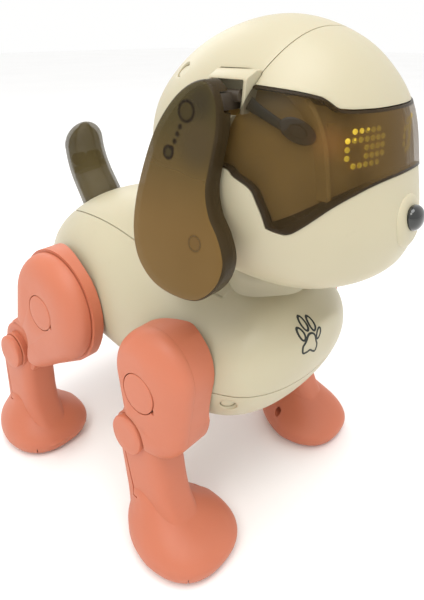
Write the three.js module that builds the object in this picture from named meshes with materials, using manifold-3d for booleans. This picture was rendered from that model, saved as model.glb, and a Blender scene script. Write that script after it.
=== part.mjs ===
// Robot dog toy: a standing puppy with a turning head, swinging ears, a wagging tail and four
// hinged legs. Millimetres, +Z up. The dog faces -Y and its left side is +X.
import * as THREE from 'three';
import { mergeVertices } from 'three/addons/utils/BufferGeometryUtils.js';
import Module from 'manifold-3d';

const wasm = await Module();
wasm.setup();

// ---------------------------------------------------------------- driving dimensions
const GAP = 0.3;                 // clearance between neighbouring pieces
const HALF_GAP = GAP / 2;
const FAR = 300;                 // reach of the half-space cutters
const LENGTH_CENTRE = -5.69;     // middle of the overall length, moved to y = 0 at the end

const TORSO_WALL = 2.2;
const NECK = { y: -45, postRadius: 12 };

const HEAD_WALL = 2;
const EYES = { arcY: -36.2, boardRadius: 55.5, ledRadius: 59.5, z: 181.7, pitch: 2.83, inset: 9 };

const LEG = { outerX: 62.6, seamX: 53, wall: 1.6, footX: 48.5, shinX: 51.6, shinWide: 18.2 };
const CAP = { radius: 8.5, thick: 1.8 };
const KNEE_RADIUS = 9.6;
const KNUCKLE_X = 57.5;          // outer face of the shin's knuckle, inside the thigh
const SHIN_BASE = 12;
const SHIN_TOP = 58;
const ANKLE = { base: 8, top: 26, spread: 1.22 };
const FOOT = { halfWide: 21.2, halfLong: 25.2 };
// Hip and knee are (y, z) of their axes; crown and low are (y, z, radius) of the thigh's two round ends.
const FRONT_LEG = {
  name: 'front', hip: [-29.2, 81.1], innerX: 39.6, crown: [-32, 87.5, 19.5], low: [-30.5, 64, 15], edge: 4,
  ring: 0, seat: 27.6, sweep: 33.2, knee: [-20.3, 56.9], knuckle: 10.6, shin: [-20.8, 13.6], lean: 0.14,
  foot: -35.8,
};
const REAR_LEG = {
  name: 'rear', hip: [39, 92.6], innerX: 42, crown: [39, 92.6, 26.6], low: [61, 66, 13.5], edge: 8.5,
  ring: 1.5, seat: 29.2, sweep: 29.2, knee: [73.7, 57.8], knuckle: 13, shin: [77.4, 13.6], lean: 0,
  foot: 76.2,
};
const KNEE_SWING = [-12, 0, 12];   // knee angles that the thigh shells leave room for

const EAR = { outerX: 52.4, thick: 7, lean: 0.1, top: 204, wall: 1.5 };
const EAR_HINGE = { x: 42, z: 198.2, radius: 2.2 };
const TAIL = { y: 70.5, z: 127.8, tilt: -26, holeRadius: 13.4 };

// ---------------------------------------------------------------- materials
const plastic = (color, roughness, extra = {}) =>
  new THREE.MeshStandardMaterial({ color, roughness, metalness: 0, ...extra });
const cream = plastic(0xe9e2cf, 0.42);
const coral = plastic(0xe9967a, 0.48);
const smoke = plastic(0x5d4a36, 0.22, { transparent: true, opacity: 0.6 });
const black = plastic(0x0b0b0c, 0.12);
const rubber = plastic(0xd98a72, 0.85);
const dark = plastic(0x2b2a2a, 0.6);
const boardGreen = plastic(0x1f4a33, 0.5);

// ---------------------------------------------------------------- solids
function solid(geometry) {
  const bare = geometry.clone();
  bare.deleteAttribute('normal');
  bare.deleteAttribute('uv');
  const merged = mergeVertices(bare, 1e-4);
  const triVerts = new Uint32Array(merged.index.array);
  const vertProperties = new Float32Array(merged.attributes.position.array);
  const made = new wasm.Manifold(new wasm.Mesh({ numProp: 3, vertProperties, triVerts }));
  if (made.volume() > 0) return made;
  return new wasm.Manifold(new wasm.Mesh({ numProp: 3, vertProperties, triVerts: triVerts.reverse() }));
}

function geometryOf(shape) {
  const mesh = shape.getMesh();
  const geometry = new THREE.BufferGeometry();
  geometry.setAttribute('position', new THREE.BufferAttribute(new Float32Array(mesh.vertProperties), 3));
  geometry.setIndex(new THREE.BufferAttribute(new Uint32Array(mesh.triVerts), 1));
  const flat = geometry.toNonIndexed();
  flat.computeVertexNormals();
  return flat;
}

const box = (x0, x1, y0, y1, z0, z1) => solid(new THREE.BoxGeometry(x1 - x0, y1 - y0, z1 - z0)
  .translate((x0 + x1) / 2, (y0 + y1) / 2, (z0 + z1) / 2));

const shapeOf = (points) => new THREE.Shape(points.map(([u, v]) => new THREE.Vector2(u, v)));

// An outline in the side view (y, z), extruded from x0 to x1.
function sidePrism(shape, x0, x1, options = {}) {
  const geometry = new THREE.ExtrudeGeometry(shape, { depth: x1 - x0, bevelEnabled: false, ...options });
  const turn = new THREE.Matrix4().set(0, 0, 1, x0, 1, 0, 0, 0, 0, 1, 0, 0, 0, 0, 0, 1);
  return solid(geometry.applyMatrix4(turn));
}

// An outline in the front view (x, z), extruded from y0 (nearer the nose) to y1.
function frontPrism(shape, y0, y1) {
  const geometry = new THREE.ExtrudeGeometry(shape, { depth: y1 - y0, bevelEnabled: false });
  return solid(geometry.rotateX(Math.PI / 2).translate(0, y1, 0));
}

const cylinder = (radius, length, sides) => new THREE.CylinderGeometry(radius, radius, length, sides);
const rodX = (y, z, radius, x0, x1, sides = 28) => solid(cylinder(radius, x1 - x0, sides)
  .rotateZ(Math.PI / 2).translate((x0 + x1) / 2, y, z));
const rodY = (x, z, radius, y0, y1, sides = 16) => solid(cylinder(radius, y1 - y0, sides)
  .translate(x, (y0 + y1) / 2, z));
const rodZ = (x, y, radius, z0, z1, sides = 28) => solid(cylinder(radius, z1 - z0, sides)
  .rotateX(Math.PI / 2).translate(x, y, (z0 + z1) / 2));

const union = (first, ...rest) => rest.reduce((sum, shape) => sum.add(shape), first);
const without = (first, ...rest) => rest.reduce((left, shape) => left.subtract(shape), first);

// The largest body of a cut solid, without crumbs.
const largest = (shape) => shape.decompose().sort((a, b) => b.volume() - a.volume())[0];

// Mirrors a solid made on the left side (+X) to the right side (-X).
function mirrored(shape) {
  const geometry = geometryOf(shape).applyMatrix4(new THREE.Matrix4().makeScale(-1, 1, 1));
  return solid(geometry);
}

const signedPower = (value, power) => Math.sign(value) * Math.abs(value) ** power;
const spline = (points) => new THREE.SplineCurve(points.map(([u, v]) => new THREE.Vector2(u, v)));

// ---------------------------------------------------------------- scene graph
const dog = new THREE.Group();
dog.name = 'robot_dog';

function add(name, shape, material) {
  const mesh = new THREE.Mesh(geometryOf(largest(shape)), material);
  mesh.name = name;
  dog.add(mesh);
}

// ---------------------------------------------------------------- torso
// Outlines from the chest to the rump: (y, z) above and below, (y, half width) to the side.
const torsoTop = spline([[-77, 96], [-74.8, 105.5], [-65, 111.5], [-45, 114.5], [-22, 122], [-2, 133],
  [18, 139.5], [38, 140], [58, 135], [78, 124.5], [91, 112], [97, 96]]);
const torsoBottom = spline([[-77, 96], [-76.2, 87], [-71.3, 75.5], [-60, 60.5], [-45, 50.8], [-25, 49],
  [0, 55], [22, 60], [44, 64], [68, 70], [88, 80], [97, 96]]);
const torsoSide = spline([[-77, 0], [-75, 17], [-68, 31], [-54.5, 40.5], [-38, 44.5], [-20, 46],
  [2, 47], [24, 47], [46, 44.5], [68, 36], [88, 21], [97, 0]]);
const TORSO_MIDDLE = new THREE.Vector3(0, 10, 96);

function torsoPoint(along, angle) {
  const top = torsoTop.getPoint(along);
  const bottom = torsoBottom.getPoint(along);
  const side = torsoSide.getPoint(along);
  const up = signedPower(Math.sin(angle), 0.92);
  const across = signedPower(Math.cos(angle), 0.92);
  const y = up > 0 ? THREE.MathUtils.lerp(side.x, top.x, up) : THREE.MathUtils.lerp(side.x, bottom.x, -up);
  const middle = (top.y + bottom.y) / 2;
  return new THREE.Vector3(side.y * across, y, middle + up * (top.y - bottom.y) / 2);
}

function torsoBarrel(around, rows, inset) {
  const geometry = new THREE.SphereGeometry(1, around, rows);
  const position = geometry.attributes.position;
  const shrink = new THREE.Vector3(1 - inset / 46, 1 - inset / 86, 1 - inset / 42);
  for (let i = 0; i < position.count; i += 1) {
    const along = 1 - Math.acos(THREE.MathUtils.clamp(-position.getY(i), -1, 1)) / Math.PI;
    const angle = Math.atan2(position.getZ(i), position.getX(i));
    const p = torsoPoint(1 - along, angle).sub(TORSO_MIDDLE).multiply(shrink).add(TORSO_MIDDLE);
    position.setXYZ(i, p.x, p.y, p.z);
  }
  return solid(geometry);
}

const legs = [FRONT_LEG, REAR_LEG];
const torsoOuter = torsoBarrel(24, 14, 0);
const torsoInner = torsoBarrel(12, 8, TORSO_WALL);

// Flat seats for the leg rings, and a hole for each drive's hub.
const HUB_RADIUS = 6.5;
function seatForm({ hip: [y, z], seat, sweep }, x0, x1) {
  const outline = new THREE.Shape();
  outline.absarc(y, z, seat, -0.12 * Math.PI, 1.12 * Math.PI, false);
  outline.absarc(y, z, sweep, 1.18 * Math.PI, 1.82 * Math.PI, false);
  return sidePrism(outline, x0, x1, { curveSegments: 12 });
}
const bothSides = (form) => [form, mirrored(form)];
const legSeats = legs.flatMap((leg) => bothSides(seatForm(leg, leg.innerX - 0.5, 70)));
const seatWalls = legs.flatMap((leg) => bothSides(
  seatForm(leg, leg.innerX - 2.5, leg.innerX - 0.5).intersect(torsoOuter)));
const hubHoles = legs.map(({ hip: [y, z] }) => rodX(y, z, HUB_RADIUS + 0.5, -60, 60, 14));

const tailTurn = (geometry) => geometry.rotateX(THREE.MathUtils.degToRad(TAIL.tilt))
  .translate(0, TAIL.y, TAIL.z);

// A cylinder along the tail's axis, from low to high above its hinge.
function tailRod(radius, low, high) {
  const upright = cylinder(radius, high - low, 20).rotateX(Math.PI / 2);
  return solid(tailTurn(upright.translate(0, 0, (low + high) / 2)));
}
const tailHole = tailRod(TAIL.holeRadius, -15, 15);
const neckHole = rodZ(0, NECK.y, NECK.postRadius + 4.4, 105, 125, 20);

const torsoShell = without(union(without(torsoOuter, torsoInner, ...legSeats), ...seatWalls),
  ...hubHoles, tailHole, neckHole);

// Seam of the back cover, and of the belly pan, in the side view.
const backSeam = [[110, 107], [92, 115], [66, 126], [46, 131.5], [24, 131.5], [4, 126.5], [-14, 119],
  [-34, 112]];
const bellySeam = [[110, 78], [60, 80], [20, 79], [-30, 79], [-110, 79]];
const aboveLine = (line, shift, edge) => sidePrism(shapeOf([
  ...line.map(([y, z]) => [y, z + shift]), [line.at(-1)[0], edge], [line[0][0], edge]].reverse()), -FAR, FAR);
const backRegion = (shift) => aboveLine(backSeam, shift, 200);
const bellyRegion = (shift) => aboveLine(bellySeam, shift, 0);

const DOOR = { x: 20, y0: -12, y1: 20 };
const doorHole = (grow) => box(-DOOR.x - grow, DOOR.x + grow, DOOR.y0 - grow, DOOR.y1 + grow, 40, 70);
const SWITCH = { x: -12, y: 41, slotLong: 13, slotWide: 5.4 };
const SOCKET = { x: 12, y: 41, wide: 11, deep: 6 };
const switchSlot = box(SWITCH.x - SWITCH.slotLong / 2, SWITCH.x + SWITCH.slotLong / 2,
  SWITCH.y - SWITCH.slotWide / 2, SWITCH.y + SWITCH.slotWide / 2, 50, 74);
const socketHole = box(SOCKET.x - SOCKET.wide / 2 - GAP, SOCKET.x + SOCKET.wide / 2 + GAP,
  SOCKET.y - SOCKET.deep / 2 - GAP, SOCKET.y + SOCKET.deep / 2 + GAP, 50, 74);
const SPEAKER = { y: -35, z: 60, radius: 11, grilleRows: [-6, -2, 2, 6] };
const grilleSlots = SPEAKER.grilleRows.map((row) =>
  box(-7, 7, SPEAKER.y + row - 0.8, SPEAKER.y + row + 0.8, 40, 60));

const bellyPan = torsoShell.intersect(bellyRegion(-HALF_GAP));
add('body_shell', without(torsoShell, backRegion(-HALF_GAP), bellyRegion(HALF_GAP)), cream);
add('back_cover', torsoShell.intersect(backRegion(HALF_GAP)), cream);
add('belly_pan', without(bellyPan, doorHole(HALF_GAP), switchSlot, socketHole, ...grilleSlots), cream);
add('battery_door', without(torsoOuter, torsoInner).intersect(doorHole(-HALF_GAP)), cream);

add('power_switch', box(SWITCH.x - 5, SWITCH.x + 1, SWITCH.y - 2.2, SWITCH.y + 2.2, 62.4, 70), dark);
add('charge_socket', box(SOCKET.x - SOCKET.wide / 2, SOCKET.x + SOCKET.wide / 2,
  SOCKET.y - SOCKET.deep / 2, SOCKET.y + SOCKET.deep / 2, 66, 73), dark);
add('battery_pack', box(-16, 16, -10, 17, 65, 79), dark);
add('main_board', box(-26, 26, -10, 22, 100, 101.6), boardGreen);
add('speaker', union(rodZ(0, SPEAKER.y, SPEAKER.radius, SPEAKER.z, SPEAKER.z + 3),
  rodZ(0, SPEAKER.y, 7, SPEAKER.z + 3, SPEAKER.z + 8, 20)), dark);

for (const { name, hip: [y, z], innerX } of legs) {
  for (const [word, side] of [['left', 1], ['right', -1]]) {
    const drive = union(box(11, 33, y - 11, y + 11, z - 8, z + 12), rodX(y, z, 5, 32, innerX - 3.2, 14));
    add(`${name}_${word}_drive`, side > 0 ? drive : mirrored(drive), dark);
  }
}
add('tail_drive', box(-11, 11, 58, 78, 92, 108), dark);

// Ring around the neck post, seated in the top of the torso.
const neckRing = without(rodZ(0, NECK.y, NECK.postRadius + 4, 108, 114.2, 28),
  rodZ(0, NECK.y, NECK.postRadius + GAP, 100, 120, 28));
add('neck_collar', neckRing, dark);

// ---------------------------------------------------------------- head
// Outlines from the chin to the crown: (z, front y), (z, rear y) and (z, half width).
const headFront = spline([[122.5, -64], [125.5, -87], [131, -97.3], [139.5, -103.4], [150, -106],
  [161, -106.2], [171, -105], [183, -103.4], [196, -99.5], [208, -91.5], [217, -80.5], [222.5, -68],
  [224.6, -55]]);
const headRear = spline([[122.5, -64], [125.5, -46], [131, -30], [139.5, -17], [150, -7.5], [161, -2.5],
  [171, -0.6], [183, -1.2], [196, -6], [208, -15.5], [217, -28], [222.5, -41.5], [224.6, -55]]);
const headSide = spline([[122.5, 0], [125.5, 22], [131, 33], [139.5, 40.5], [150, 45], [161, 47],
  [171, 47.5], [183, 47.2], [196, 43.5], [208, 35.5], [217, 25.5], [222.5, 14], [224.6, 0]]);
const MUZZLE = { z: 147, reach: 2.8, halfWide: 16, halfHigh: 13 };
const HEAD_MIDDLE = new THREE.Vector3(0, -53, 169);
const PLAN_POWER = 2 / 2.25;

function headForm(around, rows, inset) {
  const geometry = new THREE.SphereGeometry(1, around, rows).rotateX(Math.PI / 2);
  const position = geometry.attributes.position;
  const shrink = new THREE.Vector3(1 - inset / 47, 1 - inset / 53, 1 - inset / 55);
  for (let i = 0; i < position.count; i += 1) {
    const up = Math.acos(THREE.MathUtils.clamp(-position.getZ(i), -1, 1)) / Math.PI;
    const angle = Math.atan2(position.getY(i), position.getX(i));
    const front = headFront.getPoint(up);
    const rear = headRear.getPoint(up);
    const half = headSide.getPoint(up);
    const middle = (front.y + rear.y) / 2;
    const reach = (rear.y - front.y) / 2;
    const p = new THREE.Vector3(half.y * signedPower(Math.cos(angle), PLAN_POWER),
      middle + reach * signedPower(Math.sin(angle), PLAN_POWER), half.x);
    const ahead = THREE.MathUtils.clamp((middle - p.y) / 20, 0, 1);
    p.y -= ahead * MUZZLE.reach
      * Math.exp(-((p.x / MUZZLE.halfWide) ** 2) - ((p.z - MUZZLE.z) / MUZZLE.halfHigh) ** 2);
    p.sub(HEAD_MIDDLE).multiply(shrink).add(HEAD_MIDDLE);
    position.setXYZ(i, p.x, p.y, p.z);
  }
  return solid(geometry);
}

const headOuter = headForm(26, 16, 0);
const headInner = headForm(14, 9, HEAD_WALL);

// The visor's outline: its edges in the front view and its lower rear edge in the side view.
const visorHalf = [[0, 194], [21, 193.4], [24.5, 193.6], [28.5, 197.3], [38, 198.4], [44, 200.5], [60, 206]];
const visorLow = [[60, 156], [44.5, 156.5], [40.5, 154.6], [38.3, 157.7], [33.5, 163], [26.5, 167.3],
  [20, 169.6], [13, 170.8], [0, 171.3]];
const visorFrontView = [...visorHalf, ...visorLow];
const visorSideView = [[-120, 150], [-76.5, 156.4], [-75.2, 161], [-73.5, 166], [-70, 170.5], [-64.5, 173.6],
  [-59, 175.6], [-50, 176.4], [-50, 212], [-120, 212]];

function visorRegion(grow) {
  const grown = (points, middleZ) => points.map(([u, v]) => [u, v + Math.sign(v - middleZ) * grow]);
  const right = grown(visorFrontView, 182);
  const left = right.map(([x, z]) => [-x, z]).reverse();
  const front = frontPrism(shapeOf([...right, ...left.slice(1, -1)].reverse()), -FAR, -40);
  const side = sidePrism(shapeOf(grown(visorSideView, 182)), -FAR, FAR);
  return front.intersect(side);
}

const EAR_FRAME = { y0: -69.5, y1: -56, z0: 192, z1: 206.4, inX: 36, outX: 43.4, bar: 3.4 };
function earFrameBox(grow, outX) {
  const { y0, y1, z0, z1, inX } = EAR_FRAME;
  return box(inX - grow, outX, y0 - grow, y1 + grow, z0 - grow, z1 + grow);
}
const bothFrames = union(...bothSides(earFrameBox(GAP, 60)));

const postHole = rodZ(0, NECK.y, NECK.postRadius + GAP, 105, 134);
const headShell = without(headOuter, headInner, bothFrames, postHole);
const headSeam = [[-57, 100], [-57, 175], [-80, 234]];
const behindSeam = (shift) => sidePrism(shapeOf([
  ...headSeam.map(([y, z]) => [y + shift, z]), [40, 234], [40, 100]].reverse()), -FAR, FAR);
const headFace = without(headShell, behindSeam(-HALF_GAP));
const aroundVisor = without(headFace, visorRegion(HALF_GAP));
const VISOR_MIDDLE_Z = 186;
add('head_rear_shell', headShell.intersect(behindSeam(HALF_GAP)), cream);
add('head_dome', aroundVisor.intersect(box(-FAR, FAR, -FAR, FAR, VISOR_MIDDLE_Z, FAR)), cream);
add('visor', headFace.intersect(visorRegion(-HALF_GAP)), smoke);

const NOSE = { y: -109.2, z: 155.2, halfWide: 5.2, halfHigh: 4.4, deep: 3.6 };
const noseForm = solid(new THREE.SphereGeometry(1, 14, 9).scale(NOSE.halfWide, NOSE.deep, NOSE.halfHigh)
  .translate(0, NOSE.y, NOSE.z));
const nosePocket = rodY(0, NOSE.z, NOSE.halfWide + 0.6, NOSE.y - 10, NOSE.y + 1.6, 20);
const lowerFace = aroundVisor.intersect(box(-FAR, FAR, -FAR, FAR, 0, VISOR_MIDDLE_Z));
add('face_shell', without(lowerFace, nosePocket), cream);
add('nose', noseForm.intersect(box(-20, 20, -FAR, NOSE.y + 1.2, 0, FAR)), black);

// Ear frames: a raised frame round the slot that the ear's arm swings in.
function earFrame() {
  const { y0, y1, z0, z1, inX, outX, bar } = EAR_FRAME;
  const slot = box(inX + 2, outX + 5, y0 + bar, y1 - 1.6, z0 - 5, z1 - bar);
  const slope = frontPrism(shapeOf([[inX - 5, z1 + 5], [outX - 3.5, z1 + 5], [outX - 3.5, z1],
    [outX + 5, z1 - 6], [outX + 5, z0 - 5], [inX - 5, z0 - 5]].reverse()), -90, -40);
  return without(earFrameBox(0, outX), slot).intersect(slope);
}
add('ear_frame_left', earFrame(), cream);
add('ear_frame_right', mirrored(earFrame()), cream);

// Eye board and the two light matrices, bent to the visor's curve.
function arcWall(inner, outer, from, to, z0, z1) {
  const outline = new THREE.Shape();
  outline.absarc(0, EYES.arcY, outer, from, to, false);
  outline.absarc(0, EYES.arcY, inner, to, from, true);
  const options = { depth: z1 - z0, bevelEnabled: false, curveSegments: 8 };
  return solid(new THREE.ExtrudeGeometry(outline, options).translate(0, 0, z0));
}
const arcAngle = (offset) => -Math.PI / 2 + offset / EYES.ledRadius;
const matrixNear = EYES.inset - EYES.pitch * 0.9;
const matrixFar = EYES.inset + EYES.pitch * 6.9;
const matrixHalf = EYES.pitch * 2.9;
add('eye_board', arcWall(EYES.boardRadius - 1.6, EYES.boardRadius, arcAngle(-34), arcAngle(34),
  EYES.z - 11, EYES.z + 11), boardGreen);
for (const [word, from, to] of [['left', matrixNear, matrixFar], ['right', -matrixFar, -matrixNear]]) {
  add(`eye_matrix_${word}`, arcWall(EYES.boardRadius + GAP, EYES.ledRadius, arcAngle(from), arcAngle(to),
    EYES.z - matrixHalf, EYES.z + matrixHalf), dark);
}

// Neck post: carried by the head, turning in the collar.
const postFlange = rodZ(0, NECK.y, 15.5, 136, 138.5);
add('neck_post', union(rodZ(0, NECK.y, NECK.postRadius, 109, 136), postFlange), dark);

// ---------------------------------------------------------------- ears
const earOutline = spline([[-57.4, 203.6], [-50.5, 201.2], [-43.5, 195.5], [-36.5, 186], [-31, 173],
  [-27.2, 159], [-26.6, 147], [-30, 137.5], [-38, 131], [-49, 129], [-60, 130.6], [-68, 137.5],
  [-71, 146], [-68.6, 154], [-64, 161], [-62, 169], [-63.3, 178], [-65, 188], [-64.4, 197],
  [-61.5, 202], [-57.4, 203.6]]);

function earPlate(inset, x0, x1, points) {
  const middle = new THREE.Vector2(-52, 165);
  const edge = earOutline.getPoints(points).slice(0, -1).map((p) => {
    const reach = p.clone().sub(middle);
    return p.clone().sub(reach.setLength(inset));
  });
  const lean = new THREE.Matrix4()
    .set(1, 0, -EAR.lean, EAR.lean * EAR.top, 0, 1, 0, 0, 0, 0, 1, 0, 0, 0, 0, 1);
  return solid(geometryOf(sidePrism(new THREE.Shape(edge), x0, x1)).applyMatrix4(lean));
}

const earOuter = earPlate(0, EAR.outerX - EAR.thick, EAR.outerX, 32);
const earPocket = earPlate(EAR.wall, EAR.outerX - EAR.thick - 2, EAR.outerX - EAR.wall, 32);
const earCover = earPlate(EAR.wall + GAP, EAR.outerX - EAR.thick + 0.2, EAR.outerX - EAR.thick + 1.6, 32);

// Arm from the hinge rod in the slot to the ear's cover; the ear's shell is notched for it.
const ARM = { y0: -64.6, y1: -58.3, x0: 39.6, x1: 49.6, z0: 193.6, z1: 199.6 };
const armNotch = box(30, 50, ARM.y0 - GAP, ARM.y1 + GAP, ARM.z0 - GAP, ARM.z1 + GAP);
const earArm = union(box(ARM.x0, ARM.x1, ARM.y0, ARM.y1, ARM.z0, ARM.z1),
  rodY(EAR_HINGE.x, EAR_HINGE.z, EAR_HINGE.radius, EAR_FRAME.y0 + 3.7, EAR_FRAME.y1 - 1.9));
const earShell = without(earOuter, earPocket, armNotch);
const earBack = without(earCover, armNotch);
for (const [word, turn] of [['left', (s) => s], ['right', mirrored]]) {
  add(`ear_${word}_shell`, turn(earShell), smoke);
  add(`ear_${word}_back`, turn(earBack), smoke);
  add(`ear_${word}_arm`, turn(earArm), smoke);
}

// ---------------------------------------------------------------- tail
// A hollow curved horn of two halves, on a hub that tips from side to side.
const tailLine = new THREE.CatmullRomCurve3([[0, -7], [0, 0], [-0.6, 12], [-2.4, 24], [-5.2, 36], [-8, 43.5]]
  .map(([v, w]) => new THREE.Vector3(0, v, w)));
const tailRadius = (t) => THREE.MathUtils.lerp(11.4, 10.8, Math.min(t * 1.3, 1))
  * Math.sqrt(1 - (Math.max(0, t - 0.78) / 0.2202) ** 2);

function tailHorn(inset, rings, around) {
  const geometry = new THREE.SphereGeometry(1, around, rings).rotateX(Math.PI / 2);
  const position = geometry.attributes.position;
  for (let i = 0; i < position.count; i += 1) {
    const level = Math.acos(THREE.MathUtils.clamp(-position.getZ(i), -1, 1)) / Math.PI;
    const flatBase = level === 0;
    const t = Math.max(0, (level * rings - 1) / (rings - 1));
    const angle = Math.atan2(position.getY(i), position.getX(i));
    const radius = flatBase ? 0 : Math.max(0, tailRadius(t) - inset);
    const centre = tailLine.getPoint(t * (1 - inset / 60));
    const along = tailLine.getTangent(t);
    const fore = new THREE.Vector3(0, along.z, -along.y);
    const p = centre.clone().add(new THREE.Vector3(radius * Math.cos(angle), 0, 0))
      .add(fore.multiplyScalar(radius * Math.sin(angle)));
    position.setXYZ(i, p.x, p.y, p.z);
  }
  return geometry;
}

const tailOuter = solid(tailTurn(tailHorn(0, 9, 16)));
const tailInner = solid(tailTurn(tailHorn(1.6, 6, 10).translate(0, 0, -0.4)));
const tailShell = without(tailOuter, tailInner, tailRod(7.5, -11, -3));
add('tail_left_half', tailShell.intersect(box(HALF_GAP, FAR, -FAR, FAR, 0, FAR)), smoke);
add('tail_right_half', tailShell.intersect(box(-FAR, -HALF_GAP, -FAR, FAR, 0, FAR)), smoke);
add('tail_hub', tailRod(6.8, -10.5, 0.5), dark);

// ---------------------------------------------------------------- legs
const leanTowardsToe = (lean) => new THREE.Matrix4()
  .set(1, 0, 0, 0, 0, 1, lean, -lean * SHIN_TOP, 0, 0, 1, 0, 0, 0, 0, 1);

// Outline round the thigh's two round ends.
function thighOutline([y1, z1, r1], [y2, z2, r2], grow) {
  const distance = Math.hypot(y2 - y1, z2 - z1);
  const heading = Math.atan2(z2 - z1, y2 - y1);
  const lean = Math.acos((r1 - r2) / distance);
  const outline = new THREE.Shape();
  outline.absarc(y1, z1, r1 + grow, heading + lean, heading - lean + 2 * Math.PI, false);
  outline.absarc(y2, z2, r2 + Math.min(grow, 0), heading - lean, heading + lean, false);
  return outline;
}

function upperLeg(leg) {
  const { hip, innerX, crown, low, edge, ring, knee } = leg;
  const rounding = {
    bevelEnabled: true, bevelThickness: edge, bevelSize: edge, bevelOffset: -edge, bevelSegments: 2,
  };
  const smooth = { curveSegments: 9 };
  const thigh = sidePrism(thighOutline(crown, low, 0), LEG.seamX - 8, LEG.outerX - edge,
    { ...rounding, ...smooth });
  const drum = sidePrism(thighOutline(crown, low, ring), innerX, LEG.seamX + 8, smooth);
  const hollow = sidePrism(thighOutline(crown, low, -LEG.wall - edge / 2), innerX + LEG.wall,
    LEG.outerX - LEG.wall, smooth);
  const kneeHole = union(rodX(knee[0], knee[1], KNEE_RADIUS + 0.6, 30, 70, 16),
    rodX(knee[0], knee[1], leg.knuckle + 0.6, 30, KNUCKLE_X + 0.4, 18));
  const shinRoom = KNEE_SWING.map((angle) => {
    const room = geometryOf(shinForm(leg, 0.5)).translate(0, -knee[0], -knee[1])
      .rotateX(THREE.MathUtils.degToRad(angle)).translate(0, knee[0], knee[1]);
    return solid(room);
  });
  const seam = (x0, x1) => box(x0, x1, -FAR, FAR, 0, FAR);
  const capHole = rodX(hip[0], hip[1], CAP.radius + 0.4, LEG.outerX - LEG.wall - 2, 70, 18);
  const hub = rodX(hip[0], hip[1], HUB_RADIUS, innerX - 2.6, LEG.seamX + 3, 14);
  return {
    outer: without(thigh.intersect(seam(LEG.seamX + HALF_GAP, 70)), hollow, kneeHole, capHole, ...shinRoom),
    inner: union(without(drum.intersect(seam(30, LEG.seamX - HALF_GAP)), hollow, kneeHole, ...shinRoom), hub),
  };
}

// Shin: a rounded column from the foot to the knee, leaning a little towards the toe.
function shinForm({ shin: [y, halfDeep], lean }, grow) {
  const halfWide = LEG.shinWide / 2 + grow;
  const deep = halfDeep + grow;
  const corner = 6 + grow;
  const outline = new THREE.Shape();
  outline.absarc(halfWide - corner, deep - corner, corner, 0, Math.PI / 2, false);
  outline.absarc(corner - halfWide, deep - corner, corner, Math.PI / 2, Math.PI, false);
  outline.absarc(corner - halfWide, corner - deep, corner, Math.PI, 1.5 * Math.PI, false);
  outline.absarc(halfWide - corner, corner - deep, corner, 1.5 * Math.PI, 2 * Math.PI, false);
  const depth = SHIN_TOP - SHIN_BASE + grow;
  const geometry = new THREE.ExtrudeGeometry(outline, { depth, bevelEnabled: false, curveSegments: 2 });
  geometry.translate(LEG.shinX, y, SHIN_BASE);
  return solid(geometry.applyMatrix4(leanTowardsToe(lean)));
}

// The shin widens into the foot.
function ankleForm({ shin: [y, halfDeep], lean }) {
  const flare = new THREE.CylinderGeometry(1, ANKLE.spread, ANKLE.top - ANKLE.base, 16);
  flare.rotateX(Math.PI / 2).scale(LEG.shinWide / 2, halfDeep - 0.4, 1);
  flare.translate(LEG.shinX, y, (ANKLE.top + ANKLE.base) / 2);
  return solid(flare.applyMatrix4(leanTowardsToe(lean)));
}

// Foot: a low rounded boot, (share of the half width, z) from the floor to the top.
const footProfile = spline([[0, 0.8], [0.65, 0.8], [0.95, 1.1], [1, 4.8], [0.97, 8.4], [0.82, 11.9],
  [0.5, 14.8], [0, 16]]);

function footForm(y, inset, around, rows) {
  const geometry = new THREE.SphereGeometry(1, around, rows).rotateX(Math.PI / 2);
  const position = geometry.attributes.position;
  for (let i = 0; i < position.count; i += 1) {
    const up = Math.acos(THREE.MathUtils.clamp(-position.getZ(i), -1, 1)) / Math.PI;
    const angle = Math.atan2(position.getY(i), position.getX(i));
    const { x: share, y: z } = footProfile.getPoint(up);
    const across = signedPower(Math.cos(angle), 0.9) * share * (FOOT.halfWide - inset);
    const along = signedPower(Math.sin(angle), 0.9) * share * (FOOT.halfLong - inset);
    position.setXYZ(i, LEG.footX + across, y + along, z - (up > 0.5 ? inset : 0));
  }
  return solid(geometry);
}

const SOLE = { halfWide: 15, halfLong: 18.5, thick: 2.6 };
function soleForm(y, grow, z0, z1) {
  const outline = new THREE.Shape();
  outline.absellipse(LEG.footX, y, SOLE.halfWide + grow, SOLE.halfLong + grow, 0, 2 * Math.PI, false, 0);
  const options = { depth: z1 - z0, bevelEnabled: false, curveSegments: 16 };
  return solid(new THREE.ExtrudeGeometry(outline, options).translate(0, 0, z0));
}

function lowerLeg(leg) {
  const [kneeY, kneeZ] = leg.knee;
  const [shinY, shinDeep] = leg.shin;
  const drum = rodX(kneeY, kneeZ, KNEE_RADIUS, leg.innerX + 0.8, LEG.outerX - CAP.thick - GAP, 16);
  const knuckle = rodX(kneeY, kneeZ, leg.knuckle, leg.innerX + 0.8, KNUCKLE_X, 18);
  const bore = solid(new THREE.BoxGeometry(12, 2 * shinDeep - 9, SHIN_TOP - 4)
    .translate(LEG.shinX, shinY, SHIN_TOP / 2 - 12).applyMatrix4(leanTowardsToe(leg.lean)));
  const opening = soleForm(leg.foot, GAP, -10, SOLE.thick + GAP);
  return without(union(footForm(leg.foot, 0, 16, 9), ankleForm(leg), shinForm(leg, 0), drum, knuckle),
    footForm(leg.foot, 2.2, 10, 6), bore, opening);
}

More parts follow.
